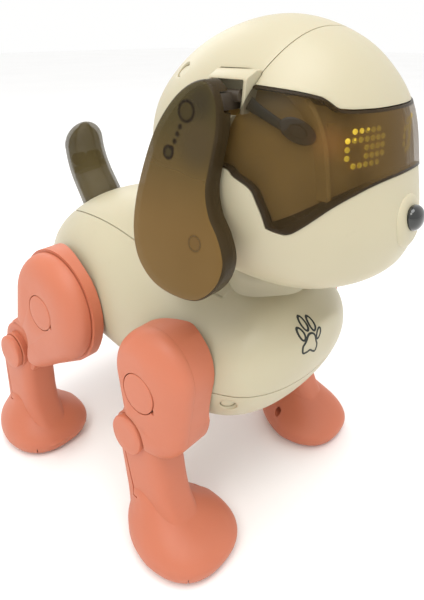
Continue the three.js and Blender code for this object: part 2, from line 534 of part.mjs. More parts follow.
for (const leg of legs) {
  const [hipY, hipZ] = leg.hip;
  const [kneeY, kneeZ] = leg.knee;
  const { outer, inner } = upperLeg(leg);
  const pieces = {
    thigh_outer: outer,
    thigh_inner: inner,
    hip_cap: rodX(hipY, hipZ, CAP.radius, LEG.outerX - CAP.thick + 0.2, LEG.outerX + 0.2, 20),
    shin: lowerLeg(leg),
    knee_cap: rodX(kneeY, kneeZ, CAP.radius, LEG.outerX - CAP.thick, LEG.outerX + 0.8, 20),
    sole: soleForm(leg.foot, 0, 0, SOLE.thick),
  };
  for (const [piece, shape] of Object.entries(pieces)) {
    const material = piece === 'sole' ? rubber : coral;
    add(`${leg.name}_left_${piece}`, shape, material);
    add(`${leg.name}_right_${piece}`, mirrored(shape), material);
  }
}

dog.position.y = -LENGTH_CENTRE;

export default dog;
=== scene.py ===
"""Robot dog toy: the visible shells, caps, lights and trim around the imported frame.

Shapes are worked out in millimetres in the design frame of the toy (it faces -Y, +Z is up) and turned
into metres in the row frame by put(). The left side (+X) is made first, and the right is its mirror.
"""
import math

import bmesh
import bpy
import numpy as np
from mathutils import Matrix, Vector


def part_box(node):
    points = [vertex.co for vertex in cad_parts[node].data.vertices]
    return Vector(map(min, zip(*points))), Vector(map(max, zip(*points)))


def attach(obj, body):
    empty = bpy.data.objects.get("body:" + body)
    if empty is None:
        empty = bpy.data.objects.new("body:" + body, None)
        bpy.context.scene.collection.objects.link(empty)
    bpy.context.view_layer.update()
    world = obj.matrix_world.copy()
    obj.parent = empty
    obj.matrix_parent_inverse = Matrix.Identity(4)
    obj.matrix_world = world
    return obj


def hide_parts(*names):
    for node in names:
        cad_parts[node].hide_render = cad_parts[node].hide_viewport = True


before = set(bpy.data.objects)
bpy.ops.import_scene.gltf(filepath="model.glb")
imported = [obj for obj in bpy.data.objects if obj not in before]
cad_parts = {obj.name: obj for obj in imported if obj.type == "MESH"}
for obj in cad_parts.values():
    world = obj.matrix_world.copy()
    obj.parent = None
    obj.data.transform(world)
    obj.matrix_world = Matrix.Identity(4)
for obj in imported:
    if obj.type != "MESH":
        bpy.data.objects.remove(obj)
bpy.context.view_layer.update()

MM = 0.001
NECK_Y = -45.0
neck_low, neck_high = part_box("neck_post")
SHIFT = (neck_low.y + neck_high.y) / 2 / MM - NECK_Y   # from the design frame to the row frame, along Y
GAP = 0.2                                              # half of the visible gap along a seam

# ---------------------------------------------------------------- camera, light and floor


def row(x, y, z):
    """A point of the design frame, in the row frame, in metres."""
    return Vector((x * MM, (y + SHIFT) * MM, z * MM))


def add_camera():
    data = bpy.data.cameras.new("camera")
    data.sensor_fit = "VERTICAL"
    data.sensor_height = 36.0
    data.lens = 31.88
    data.shift_x = -0.0537
    data.shift_y = -0.1803
    camera = bpy.data.objects.new("camera", data)
    turn = math.radians(51.147)
    dip = math.radians(16.609)
    heading = Vector((math.sin(turn) * math.cos(dip), math.cos(turn) * math.cos(dip), -math.sin(dip)))
    camera.location = row(-174.67, -173.43, 217.30)
    camera.rotation_euler = heading.to_track_quat("-Z", "Y").to_euler()
    bpy.context.scene.collection.objects.link(camera)
    bpy.context.scene.camera = camera


def add_light(name, place, aim, size, watts, color=(1, 1, 1)):
    data = bpy.data.lights.new(name, "AREA")
    data.shape = "DISK"
    data.size = size
    data.energy = watts
    data.color = color
    light = bpy.data.objects.new(name, data)
    light.location = place
    light.rotation_euler = (Vector(aim) - Vector(place)).to_track_quat("-Z", "Y").to_euler()
    bpy.context.scene.collection.objects.link(light)


def add_studio():
    world = bpy.data.worlds.new("studio")
    bpy.context.scene.world = world
    world.use_nodes = True
    background = world.node_tree.nodes["Background"]
    background.inputs["Color"].default_value = (1.0, 1.0, 0.995, 1)
    background.inputs["Strength"].default_value = 1.0
    bpy.context.scene.view_settings.view_transform = "Standard"
    add_light("key", (-0.6, -0.2, 0.85), (0, 0, 0.12), 0.45, 2.6, (1, 0.97, 0.92))
    add_light("above", (-0.1, -0.25, 1.2), (0, 0, 0.12), 0.8, 6.5)
    add_light("rear", (0.35, 0.8, 0.7), (0, 0, 0.12), 0.6, 1.6)
    mesh = bpy.data.meshes.new("floor")
    reach = 6.0
    low = -0.00005
    corners = [(-reach, -reach, low), (reach, -reach, low), (reach, reach, low), (-reach, reach, low)]
    mesh.from_pydata(corners, [], [(0, 1, 2, 3)])
    floor = bpy.data.objects.new("floor", mesh)
    bpy.context.scene.collection.objects.link(floor)
    return floor


add_camera()
floor = add_studio()

# ---------------------------------------------------------------- materials


class Paint:
    """A material's node tree, with short calls for the nodes that the finishes share."""

    def __init__(self, name):
        self.material = bpy.data.materials.new(name)
        self.material.use_nodes = True
        self.tree = self.material.node_tree
        self.shader = self.tree.nodes["Principled BSDF"]
        self.place = self.tree.nodes.new("ShaderNodeTexCoord").outputs["Object"]

    def set(self, **values):
        for key, value in values.items():
            self.shader.inputs[key.replace("_", " ")].default_value = value
        return self

    def noise(self, scale, detail=2.0, roughness=0.5):
        node = self.tree.nodes.new("ShaderNodeTexNoise")
        node.inputs["Scale"].default_value = scale
        node.inputs["Detail"].default_value = detail
        node.inputs["Roughness"].default_value = roughness
        self.tree.links.new(self.place, node.inputs["Vector"])
        return node.outputs["Fac"]

    def ramp(self, value, *stops):
        """A colour ramp through (position, colour) stops."""
        node = self.tree.nodes.new("ShaderNodeValToRGB")
        elements = node.color_ramp.elements
        while len(elements) < len(stops):
            elements.new(1.0)
        for element, (position, color) in zip(elements, stops):
            element.position = position
            element.color = (*color, 1) if len(color) == 3 else color
        self.tree.links.new(value, node.inputs["Fac"])
        return node.outputs["Color"]

    def mix(self, factor, first, second, mode="MIX"):
        node = self.tree.nodes.new("ShaderNodeMix")
        node.data_type = "RGBA"
        node.blend_type = mode
        for socket, value in ((node.inputs[0], factor), (node.inputs[6], first), (node.inputs[7], second)):
            if isinstance(value, bpy.types.NodeSocket):
                self.tree.links.new(value, socket)
            else:
                socket.default_value = value
        return node.outputs[2]

    def near(self, centre, inner, outer):
        """1 within inner metres of a point of the object, falling to 0 at outer."""
        gap = self.tree.nodes.new("ShaderNodeVectorMath")
        gap.operation = "DISTANCE"
        self.tree.links.new(self.place, gap.inputs[0])
        gap.inputs[1].default_value = centre
        return self.eased(gap.outputs["Value"], outer, inner)

    def height(self, low, high):
        """0 below low and 1 above high, in metres along the object's Z."""
        split = self.tree.nodes.new("ShaderNodeSeparateXYZ")
        self.tree.links.new(self.place, split.inputs[0])
        return self.eased(split.outputs["Z"], low, high)

    def eased(self, value, zero, one):
        """0 where a value is at zero and 1 where it is at one, smooth between."""
        span = self.tree.nodes.new("ShaderNodeMapRange")
        span.interpolation_type = "SMOOTHSTEP"
        self.tree.links.new(value, span.inputs["Value"])
        span.inputs["From Min"].default_value = zero
        span.inputs["From Max"].default_value = one
        return span.outputs["Result"]

    def color(self, socket):
        self.tree.links.new(socket, self.shader.inputs["Base Color"])
        return self

    def spread(self, socket, value, low, high):
        """Drives an input of the shader from low to high as a value goes from 0 to 1."""
        node = self.tree.nodes.new("ShaderNodeMapRange")
        self.tree.links.new(value, node.inputs["Value"])
        node.inputs["To Min"].default_value = low
        node.inputs["To Max"].default_value = high
        self.tree.links.new(node.outputs["Result"], self.shader.inputs[socket])
        return self

    def bump(self, value, strength, distance):
        node = self.tree.nodes.new("ShaderNodeBump")
        node.inputs["Strength"].default_value = strength
        node.inputs["Distance"].default_value = distance
        self.tree.links.new(value, node.inputs["Height"])
        self.tree.links.new(node.outputs["Normal"], self.shader.inputs["Normal"])
        return self


def moulded(name, color, roughness, flow=0.05, grain=0.16, subsurface=0.0):
    """Moulded plastic: soft flow clouds, a fine spark-eroded grain and faint handling marks."""
    paint = Paint(name)
    lighter = [min(1, c * (1 + flow)) for c in color]
    darker = [c * (1 - flow) for c in color]
    clouds = paint.ramp(paint.noise(26, 3), (0.3, darker), (0.7, lighter))
    marks = paint.ramp(paint.noise(190, 6, 0.7), (0.30, [c * 0.93 for c in color]), (0.38, color))
    paint.color(paint.mix(0.35, clouds, marks))
    paint.spread("Roughness", paint.noise(120, 4, 0.6), roughness - 0.07, roughness + 0.09)
    paint.bump(paint.noise(2600, 2), grain, 0.00005)
    if subsurface:
        paint.set(Subsurface_Weight=subsurface, Subsurface_Radius=(1.0, 0.4, 0.25), Subsurface_Scale=0.003)
    return paint


def smoky(name, deep, pale, alpha, patches=(), top=None, denser=None):
    """Smoke-tinted clear plastic: clouded patches, fine wear, and a denser zone if one is given. Given tinted
    spots are laid over it; on the ear they are the painted shadows of the parts behind its face, and on the
    visor they include painted shade and a painted glow.
    """
    paint = Paint(name)
    tone = paint.ramp(paint.noise(22, 3), (0.3, deep), (0.72, pale))
    if top:
        tone = paint.mix(paint.height(top[0], top[1]), tone, (*top[2], 1))
    for centre, inner, outer, tint in patches:
        tone = paint.mix(paint.near(centre, inner, outer), tone, (*tint, 1))
    paint.color(tone)
    paint.spread("Roughness", paint.noise(160, 5, 0.7), 0.26, 0.42)
    paint.bump(paint.noise(900, 2), 0.03, 0.00004)
    paint.set(Alpha=alpha, IOR=1.35, Specular_IOR_Level=0.15, Coat_Weight=0.04, Coat_Roughness=0.2)
    if denser:
        centre, inner, outer, most = denser
        paint.spread("Alpha", paint.near(centre, inner, outer), alpha, most)
    return paint


CREAM = moulded("cream_plastic", (0.465, 0.418, 0.287), 0.42, flow=0.03, subsurface=0.08).material
CORAL = moulded("coral_plastic", (0.505, 0.150, 0.077), 0.5, flow=0.05, subsurface=0.12).material
CORAL_PAD = moulded("sole_rubber", (0.42, 0.125, 0.07), 0.75, grain=0.5).material
DARK = moulded("dark_plastic", (0.035, 0.033, 0.032), 0.5, flow=0.15).material
BOARD = moulded("board_green", (0.02, 0.09, 0.045), 0.45, flow=0.2).material
INK = moulded("paw_ink", (0.012, 0.016, 0.012), 0.55, flow=0.2).material
INSIDE = moulded("inner_plastic", (0.022, 0.017, 0.011), 0.45, flow=0.2).material
SMOKE_PART = moulded("smoke_part", (0.05, 0.037, 0.024), 0.32, flow=0.15).material
NOSE = moulded("nose_black", (0.006, 0.007, 0.006), 0.14, flow=0.2, grain=0.03).set(Coat_Weight=0.6).material
EAR_LEAN = 0.1
EAR_FACE = 52.4
UPPER_POST = (-52.0, 193.4)      # (y, z) of the marks that show through an ear's face
LOWER_POST = (-44.4, 179.2)
EAR_GATE = (-58.2, 150.7)


def ear_point(y, z, depth=0.0, side=1):
    """A point of an ear, at a depth under its outer face."""
    return np.array([side * (EAR_FACE - depth + EAR_LEAN * (204 - z)), y, z])


def ear_shadows():
    """The screw posts and the hinge plate behind an ear's face, as they darken it from behind."""
    shadows = []
    for side in (1, -1):
        spots = [(-57.5, 184, 3.0, 13.0, (0.075, 0.052, 0.022)), (-58, 197, 1.0, 9.0, (0.045, 0.034, 0.016))]
        spots += [(-51.8 + 1.15 * i, 193.2 - 2.5 * i, 0.7, 1.3, (0.020, 0.013, 0.005)) for i in range(2, 6)]
        spots += [(*UPPER_POST, 3.4, 4.3, (0.016, 0.010, 0.004)),
                  (*UPPER_POST, 2.3, 3.2, (0.052, 0.038, 0.013)),
                  (*LOWER_POST, 2.2, 3.0, (0.016, 0.010, 0.004)),
                  (*LOWER_POST, 1.1, 1.8, (0.050, 0.037, 0.013)),
                  (*EAR_GATE, 2.6, 3.6, (0.120, 0.068, 0.020)),
                  (*EAR_GATE, 1.6, 2.6, (0.150, 0.086, 0.026))]
        for y, z, inner, outer, tint in spots:
            shadows.append((row(*ear_point(y, z, 0, side)), inner * MM, outer * MM, tint))
    return shadows


EAR = smoky("ear_smoke", (0.158, 0.090, 0.026), (0.186, 0.109, 0.034), 0.8, ear_shadows(),
            top=(0.150, 0.196, (0.066, 0.050, 0.017))).material
# painted shade: a darker smoke for the rounded rim and side walls of each ear
EAR_RIM_SHADE = smoky("ear_rim", (0.036, 0.024, 0.010), (0.052, 0.034, 0.014), 0.85).material
EAR_BACK = smoky("ear_back", (0.13, 0.080, 0.034), (0.17, 0.105, 0.045), 0.9).material
TAIL = smoky("tail_smoke", (0.060, 0.044, 0.015), (0.115, 0.086, 0.032), 0.62).material
VISOR_RIM = smoky("visor_rim", (0.030, 0.020, 0.010), (0.045, 0.030, 0.015), 0.85).material

VISOR = smoky("visor_smoke", (0.052, 0.032, 0.011), (0.066, 0.041, 0.014), 0.36, patches=[
    (row(0, -100, 182), 0.016, 0.034, (0.118, 0.070, 0.021)),
    # painted glow: an orange spot on the visor beside the outer lights of the right eye
    (row(-29, -89, 184), 0.001, 0.009, (0.165, 0.066, 0.020)),
    # painted shade: a dark spot on the visor just in front of the right ear frame, over the start of the ear
    # arm seen through it
    (row(-40, -74, 197), 0.002, 0.014, (0.030, 0.024, 0.012)),
    (row(-34, -86, 170), 0.001, 0.009, (0.030, 0.019, 0.008))],
    denser=(row(0, -100, 182), 0.016, 0.034, 0.72)).material
BACKING = moulded("visor_backing", (0.45, 0.26, 0.06), 0.6, flow=0.2).material


def light_dot():
    paint = Paint("eye_light")
    tone = paint.ramp(paint.noise(900, 2), (0.35, (0.70, 0.46, 0.02)), (0.65, (0.85, 0.62, 0.06)))
    paint.color(tone)
    paint.tree.links.new(tone, paint.shader.inputs["Emission Color"])
    paint.set(Emission_Strength=1.3, Roughness=0.35)
    return paint.material


def floor_paint():
    paint = Paint("floor")
    paint.color(paint.ramp(paint.noise(3, 2), (0.3, (0.955, 0.952, 0.948)), (0.7, (0.975, 0.972, 0.968))))
    paint.set(Roughness=0.9)
    return paint.material


floor.data.materials.append(floor_paint())
LIGHT = light_dot()

# ---------------------------------------------------------------- curves and outlines


def curve_through(knots):
    """A natural cubic spline v(u) through (u, v) knots, held beyond its ends."""
    u, v = np.array(knots, float).T
    count = len(u)
    step = np.diff(u)
    slope = np.diff(v) / step
    system = np.eye(count)
    known = np.zeros(count)
    for i in range(1, count - 1):
        system[i, i - 1:i + 2] = step[i - 1], 2 * (step[i - 1] + step[i]), step[i]
        known[i] = 6 * (slope[i] - slope[i - 1])
    bend = np.linalg.solve(system, known)

    def at(x):
        x = np.clip(np.asarray(x, float), u[0], u[-1])
        i = np.clip(np.searchsorted(u, x) - 1, 0, count - 2)
        d = x - u[i]
        rise = slope[i] - step[i] * (2 * bend[i] + bend[i + 1]) / 6
        return v[i] + d * rise + d * d * bend[i] / 2 + d ** 3 * (bend[i + 1] - bend[i]) / (6 * step[i])
    return at


def closed_curve(points, count):
    """A smooth closed line through points, as count evenly spread points."""
    p = np.array(points, float)
    t = np.arange(count) * len(p) / count
    i = t.astype(int)
    w = (t - i)[:, None]
    a, b, c, d = (p[(i + k) % len(p)] for k in (-1, 0, 1, 2))
    square = (2 * a - 5 * b + 4 * c - d) * w ** 2
    cube = (3 * b - a - 3 * c + d) * w ** 3
    dense = 0.5 * (2 * b + (c - a) * w + square + cube)
    length = np.concatenate([[0], np.cumsum(np.linalg.norm(np.roll(dense, -1, 0) - dense, axis=1))])
    even = np.arange(count) * length[-1] / count
    loop = np.vstack([dense, dense[:1]])
    return np.column_stack([np.interp(even, length, loop[:, k]) for k in (0, 1)])


def outward(outline):
    """The unit normals of a closed outline, pointing out of it."""
    ahead = np.roll(outline, -1, 0) - np.roll(outline, 1, 0)
    normal = np.column_stack([ahead[:, 1], -ahead[:, 0]])
    normal /= np.linalg.norm(normal, axis=1)[:, None]
    x, y = outline.T
    area = (x * np.roll(y, -1) - y * np.roll(x, -1)).sum()
    return normal if area > 0 else -normal


def power(value, exponent):
    return np.sign(value) * np.abs(value) ** exponent


def end_round(u, low, high, blunt):
    """1 in the middle and 0 at both ends of low..high; a smaller power makes a blunter end."""
    c = np.clip((2 * u - low - high) / (high - low), -1, 1)
    t = (1 + c) / 2
    exponent = blunt[0] + (blunt[1] - blunt[0]) * t * t * (3 - 2 * t)
    return np.maximum(1 - c * c, 0) ** (exponent / 2)


def swelling(knots, low, high, blunt):
    """A width that follows (u, width) knots and closes in a round end at low and at high."""
    u, v = np.array(knots, float).T
    ratio = curve_through(np.column_stack([u, v / end_round(u, low, high, blunt)]))
    return lambda x: ratio(x) * end_round(np.asarray(x, float), low, high, blunt)


# ---------------------------------------------------------------- meshes


def put(name, points, faces):
    """A mesh object from points of the design frame."""
    mesh = bpy.data.meshes.new(name)
    shifted = (np.array(points, float).reshape(-1, 3) + (0, SHIFT, 0)) * MM
    mesh.from_pydata(shifted.tolist(), [], faces)
    made = bpy.data.objects.new(name, mesh)
    bpy.context.scene.collection.objects.link(made)
    tidy(made)
    return made


def tidy(made):
    """Merges stray points and turns every face outward."""
    work = bmesh.new()
    work.from_mesh(made.data)
    bmesh.ops.remove_doubles(work, verts=work.verts, dist=1e-6)
    bmesh.ops.recalc_face_normals(work, faces=work.faces)
    work.to_mesh(made.data)
    work.free()


def loft(name, rings):
    """A closed skin over rings of points, with a flat lid on the first and on the last."""
    rings = np.array(rings, float)
    rows, around = rings.shape[:2]
    faces = [tuple(range(around))]
    for i in range(rows - 1):
        for j in range(around):
            k = (j + 1) % around
            faces.append((i * around + j, (i + 1) * around + j, (i + 1) * around + k, i * around + k))
    faces.append(tuple(range((rows - 1) * around, rows * around)))
    return put(name, rings, faces)


def prism(name, outline, axis, low, high):
    """An outline extruded along an axis. The outline's two coordinates are the other two axes, in order."""
    outline = np.array(outline, float)
    rings = [np.insert(outline, axis, level, axis=1) for level in (low, high)]
    return loft(name, rings)


def block(low, high):
    (x0, y0, z0), (x1, y1, z1) = low, high
    return prism("block", [(x0, y0), (x1, y0), (x1, y1), (x0, y1)], 2, z0, z1)


def full_turn(count):
    return np.arange(count) * 2 * math.pi / count


def circle(centre, radius, count=48):
    angle = full_turn(count)
    return np.column_stack([centre[0] + radius * np.cos(angle), centre[1] + radius * np.sin(angle)])


def rod(axis, centre, radius, low, high, count=48):
    return prism("rod", circle(centre, radius, count), axis, low, high)


def turned(name, profile, centre, axis=2, count=64):
    """A body of revolution from (radius, height) points, about an axis through centre."""
    rings = [np.insert(circle(centre, max(r, 0.02), count), axis, h, axis=1) for r, h in profile]
    return loft(name, rings)


def boolean(target, cutter, operation="DIFFERENCE", keep=False):
    modifier = target.modifiers.new("boolean", "BOOLEAN")
    modifier.operation = operation
    modifier.object = cutter
    modifier.solver = "EXACT"
    bake(target)
    if not keep:
        discard(cutter)
    return target


def bake(target):
    """Applies the modifiers of an object."""
    graph = bpy.context.evaluated_depsgraph_get()
    old = target.data
    target.data = bpy.data.meshes.new_from_object(target.evaluated_get(graph))
    target.modifiers.clear()
    bpy.data.meshes.remove(old)


def discard(*objects):
    for made in objects:
        mesh = made.data
        bpy.data.objects.remove(made)
        bpy.data.meshes.remove(mesh)


def cut(target, *cutters):
    for cutter in cutters:
        boolean(target, cutter)
    return target


def copy_of(made, name):
    twin = made.copy()
    twin.data = made.data.copy()
    twin.name = name
    twin.data.name = name
    bpy.context.scene.collection.objects.link(twin)
    return twin


def mirrored(made, name):
    """A copy on the other side of the middle plane."""
    twin = copy_of(made, name)
    twin.data.transform(Matrix.Scale(-1, 4, (1, 0, 0)))
    twin.data.flip_normals()
    return twin


def soften(made, width, segments=2, angle=38):
    """Rounds the sharp edges of a piece, as a moulding's edges are."""
    modifier = made.modifiers.new("bevel", "BEVEL")
    modifier.width = width * MM
    modifier.segments = segments
    modifier.limit_method = "ANGLE"
    modifier.angle_limit = math.radians(angle)
    bake(made)


def finish_piece(made, material, body, replaced=(), sharp=32):
    """Shades a piece smooth between its real edges, paints it and fixes it to its body."""
    tidy(made)
    made.data.materials.clear()
    made.data.materials.append(material)
    made.data.polygons.foreach_set("use_smooth", np.ones(len(made.data.polygons), bool))
    made.data.set_sharp_from_angle(angle=math.radians(sharp))
    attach(made, body)
    if replaced:
        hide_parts(*replaced)
    return made


def pair(made, stem, material, body, replaced=(), sharp=32):
    """A left piece and its mirror. Names, bodies and nodes hold {side}."""
    right = mirrored(made, stem.format(side="right"))
    made.name = stem.format(side="left")
    for side, piece in (("left", made), ("right", right)):
        nodes = [node.format(side=side) for node in replaced]
        finish_piece(piece, material, body.format(side=side), nodes, sharp)


# ---------------------------------------------------------------- torso
TORSO_ENDS = (-77.0, 97.0)
TORSO_BLUNT = (0.62, 1.0)
TORSO_SQUARE = 0.92
torso_wide = swelling([(-75, 17), (-68, 31), (-54.5, 40.5), (-38, 44.5), (-20, 46), (2, 47), (24, 47),
                       (46, 44.5), (68, 36), (88, 21)], *TORSO_ENDS, TORSO_BLUNT)
torso_high = swelling([(-75, 10.2), (-65, 22.8), (-45, 31.9), (-25, 36), (0, 39.5), (22, 39.9), (44, 37.6),
                       (68, 30.2), (88, 17.7)], *TORSO_ENDS, TORSO_BLUNT)
torso_mid = curve_through([(-77, 96), (-73, 92), (-65, 88.7), (-45, 82.7), (-25, 85), (0, 94.5), (22, 100),
                           (44, 102), (68, 100), (88, 97.5), (97, 96)])


def torso_form(name, inset, rows, around):
    low, high = TORSO_ENDS
    centre = (low + high) / 2
    half = (high - low) / 2
    angle = full_turn(around)
    rings = []
    for turn in np.linspace(0.03, math.pi - 0.03, rows):
        y = centre - half * math.cos(turn)
        wide = max(torso_wide(y) - inset, 0.1)
        tall = max(torso_high(y) - inset, 0.1)
        x = wide * power(np.cos(angle), TORSO_SQUARE)
        z = torso_mid(y) + tall * power(np.sin(angle), TORSO_SQUARE)
        pulled = centre + (y - centre) * (half - inset) / half
        rings.append(np.column_stack([x, np.full(around, pulled), z]))
    return loft(name, rings)


def torso_front_y(x, z):
    """Where the chest's surface lies, for a point seen from the front."""
    far, near = -30.0, TORSO_ENDS[0]
    for _ in range(40):
        y = (far + near) / 2
        inside = (abs(x) / torso_wide(y)) ** (2 / TORSO_SQUARE) \
            + (abs(z - torso_mid(y)) / torso_high(y)) ** (2 / TORSO_SQUARE) < 1
        far, near = (y, near) if inside else (far, y)
    return (far + near) / 2


LEGS = {   # (y, z) places and (y, z, radius) round ends, seen from the side
    "front": dict(hip=(-29.2, 81.1), inner=39.6, crown=(-32, 87.5, 19.5), low=(-31.5, 64, 15.5),
                  dome=(12.5, 9.0), soft=0.55, ring=0.0, knee=(-20.3, 56.9), knuckle=10.6, knuckle_in=4.4,
                  shin=(-20.8, 13.6), lean=0.14, foot=-35.8, lobe=None, groove=(-15.2, -20.4)),
    "rear": dict(hip=(39, 92.6), inner=42, crown=(39, 92.6, 26.6), low=(58.5, 66, 13.5),
                 dome=(13, 9.0), soft=0.1, ring=1.5, knee=(73.7, 57.8), knuckle=14.2, knuckle_in=0.8,
                 shin=(77.4, 13.6), lean=0.0, foot=76.2, lobe=(63, 71.8, 8.8), groove=(84.5, 82.6)),
}


def arc(centre, radius, start, end, count):
    angle = np.radians(np.linspace(start, end, count))
    return np.column_stack([centre[0] + radius * np.cos(angle), centre[1] + radius * np.sin(angle)])


def line_region(line, shift, edge):
    """Everything beyond a seam line, seen from the side, as far as z = edge."""
    points = [(y, z + shift) for y, z in line]
    return prism("region", points + [(points[-1][0], edge), (points[0][0], edge)], 0, -90, 90)


def plug(name, place, normal, radius):
    """A cutter for a shallow round recess, and the screw plug that sits in it."""
    aim = Vector(normal).to_track_quat("Z", "Y").to_matrix().to_4x4()
    move = Matrix.Translation(row(*place)) @ aim @ Matrix.Translation(-row(0, 0, 0))
    wall = [(radius, -4), (radius, -0.5), (radius + 0.45, 0.05), (radius + 0.6, 4)]
    face = [(radius - 0.3, -2.6), (radius - 0.3, -1.0), (radius - 0.6, -0.7), (0, -0.5)]
    cutter = turned("recess", wall, (0, 0))
    button = turned(name, face, (0, 0))
    for piece in (cutter, button):
        piece.data.transform(move)
    return cutter, button


def add_plugs(shell, stem, place, normal, radius, body):
    """A recess in a shell and its screw plug on each side, from the left one's place and direction."""
    for side, sign in (("right", -1), ("left", 1)):
        there, facing = ((sign * x, y, z) for x, y, z in (place, normal))
        recess, button = plug(f"{stem}_{side}", there, facing, radius)
        cut(shell, recess)
        finish_piece(button, CREAM, body)


def build_torso():
    outer = torso_form("body_shell", 0, 110, 144)
    inner = torso_form("inner", 2.2, 50, 72)
    shell = cut(outer, inner)
    for leg in LEGS.values():
        cut(shell, rod(0, leg["hip"], 7, -60, 60, 32))
    tilt = Matrix.Rotation(math.radians(-TAIL_TILT), 4, "X")
    hole = turned("tail_hole", [(13.4, -15), (13.4, 0), (13.4, 15)], (0, 0))
    place_tail(hole, tilt)
    cut(shell, hole, rod(2, (0, NECK_Y), 16.4, 104, 126))
    add_plugs(shell, "chest_plug", (37.4, -54.4, 73.4), (0.66, -0.62, -0.42), 3.3, "torso")
    back_line = np.linspace(-40, 110, 70)
    back_seam = curve_through([(-40, 111), (-24, 115), (-10, 121.5), (4, 127), (24, 131.5), (46, 131.5),
                               (66, 126.5), (92, 116), (110, 107)])
    back_points = [(y, float(back_seam(y))) for y in back_line]
    belly_points = [(-110, 79), (-30, 79), (20, 79), (60, 80), (110, 78)]
    back = copy_of(shell, "back_cover")
    boolean(back, line_region(back_points, GAP, 200), "INTERSECT")
    belly = copy_of(shell, "belly_pan")
    boolean(belly, line_region(belly_points, -GAP, 0), "INTERSECT")
    cut(shell, line_region(back_points, -GAP, 200), line_region(belly_points, GAP, 0))
    door = copy_of(belly, "battery_door")
    boolean(door, block((-19.85, -11.85, 40), (19.85, 19.85, 70)), "INTERSECT")
    cut(belly, block((-20.15, -12.15, 40), (20.15, 20.15, 70)))
    cut(door, block((-7, 15.4, 40), (7, 16.8, 70)), rod(2, (0, -6.5), 2.6, 40, 54.3, 32))
    cut(belly, block((-18.5, 38.3, 50), (-5.5, 43.7, 74)), block((6.2, 37.7, 50), (17.8, 44.3, 74)))
    for row_y in (-41, -37, -33, -29):
        cut(belly, block((-7, row_y - 0.8, 40), (7, row_y + 0.8, 60)))
    shells = {"body_shell": shell, "back_cover": back, "belly_pan": belly, "battery_door": door}
    for node, piece in shells.items():
        soften(piece, 0.22)
        finish_piece(piece, CREAM, "torso", [node])


# ---------------------------------------------------------------- tail
TAIL_TILT = 26
TAIL_AT = (70.5, 127.8)


def place_tail(made, tilt):
    made.data.transform(Matrix.Translation(row(0, *TAIL_AT)) @ tilt @ Matrix.Translation(-row(0, 0, 0)))


def build_tail():
    sway = curve_through([(-7, 0), (0, 0), (6, 0.6), (14, 1.6), (24, 1.4), (34, -1.2), (45, -6.0)])
    base, tip = -6.5, 43.2

    def horn(name, inset, rows, around):
        angle = full_turn(around)
        rings = []
        for share in np.sin(np.linspace(0, math.pi / 2, rows)) * 0.999:
            level = base + share * (tip - inset - base) + (0.8 if inset else 0)
            rounding = math.sqrt(max(1 - max(0, (level - 33.2 + inset) / 10.2) ** 2, 0.0004))
            radius = (11.3 - 0.6 * min(1, level / 30) - inset) * rounding
            rings.append(np.column_stack([radius * np.cos(angle), sway(level) + radius * np.sin(angle),
                                          np.full(around, level)]))
        return loft(name, rings)

    shell = cut(horn("tail", 0, 60, 72), horn("inner", 1.6, 36, 40), rod(2, (0, 0), 7.5, -12, -3))
    tilt = Matrix.Rotation(math.radians(-TAIL_TILT), 4, "X")
    boss = turned("tail_boss", [(2.2, 2), (3.4, 2), (3.4, 7.4), (2.2, 7.4)], (1.6, 25), axis=0, count=32)
    ring = turned("tail_band", [(8.3, 18), (8.9, 18), (8.9, 21), (8.3, 21)], (0, 1.4), count=48)
    hub = turned("tail_hub_cover", [(6.9, -10), (7.2, -8), (7.2, -4.2), (6.4, -3.6), (0.3, -3.6)], (0, 0))
    for piece in (shell, boss, ring, hub):
        place_tail(piece, tilt)
    for node, low, high in (("tail_left_half", 0.1, 40), ("tail_right_half", -40, -0.1)):
        half = copy_of(shell, node)
        boolean(half, block((low, -20, 80), (high, 120, 200)), "INTERSECT")
        soften(half, 0.3)
        finish_piece(half, TAIL, "tail", [node])
    discard(shell)
    mirror_boss = mirrored(boss, "tail_boss_right")
    for piece in (boss, mirror_boss, ring):
        finish_piece(piece, INSIDE, "tail")
    finish_piece(hub, DARK, "tail", ["tail_hub"])


# ---------------------------------------------------------------- head
HEAD_ENDS = (122.5, 224.6)
HEAD_BLUNT = (0.7, 1.0)
HEAD_POWER = 2.25
HEAD_SQUARE = 2 / HEAD_POWER
MUZZLE_RISE = 2.8
HEAD_MIDDLE = np.array([0, -53, 169])
head_mid = curve_through([(122.5, -66.5), (131, -63.6), (139.5, -60.2), (150, -56.8), (161, -54.3),
                          (171, -52.8), (183, -52.3), (196, -52.8), (208, -53.5), (217, -54.3), (224.6, -55)])
head_reach = swelling([(125.5, 20.5), (131, 33.7), (139.5, 43.2), (150, 49.3), (161, 51.9), (171, 52.2),
                       (183, 51.1), (196, 46.8), (208, 38), (217, 26.3), (222.5, 13.3)],
                      *HEAD_ENDS, HEAD_BLUNT)
head_wide = swelling([(125.5, 22), (131, 33), (139.5, 40.5), (150, 45), (161, 47), (171, 47.5), (183, 47.2),
                      (196, 43.5), (208, 35.5), (217, 25.5), (222.5, 14)], *HEAD_ENDS, HEAD_BLUNT)


def muzzle(x, z):
    """How much of the muzzle's rise is reached at a point seen from the front."""
    return np.exp(-(x / 16) ** 2 - ((z - 147) / 13) ** 2)


def head_form(name, inset, rows, around):
    low, high = HEAD_ENDS
    angle = full_turn(around)
    rings = []
    for turn in np.linspace(0.035, math.pi - 0.035, rows):
        z = (low + high) / 2 - (high - low) / 2 * math.cos(turn)
        x = head_wide(z) * power(np.cos(angle), HEAD_SQUARE)
        y = head_mid(z) + head_reach(z) * power(np.sin(angle), HEAD_SQUARE)
        ahead = np.clip((head_mid(z) - y) / 20, 0, 1)
        y = y - ahead * MUZZLE_RISE * muzzle(x, z)
        rings.append(np.column_stack([x, y, np.full(around, z)]))
    shrink = 1 - inset / np.array([47, 53, 51])
    return loft(name, (np.array(rings) - HEAD_MIDDLE) * shrink + HEAD_MIDDLE)


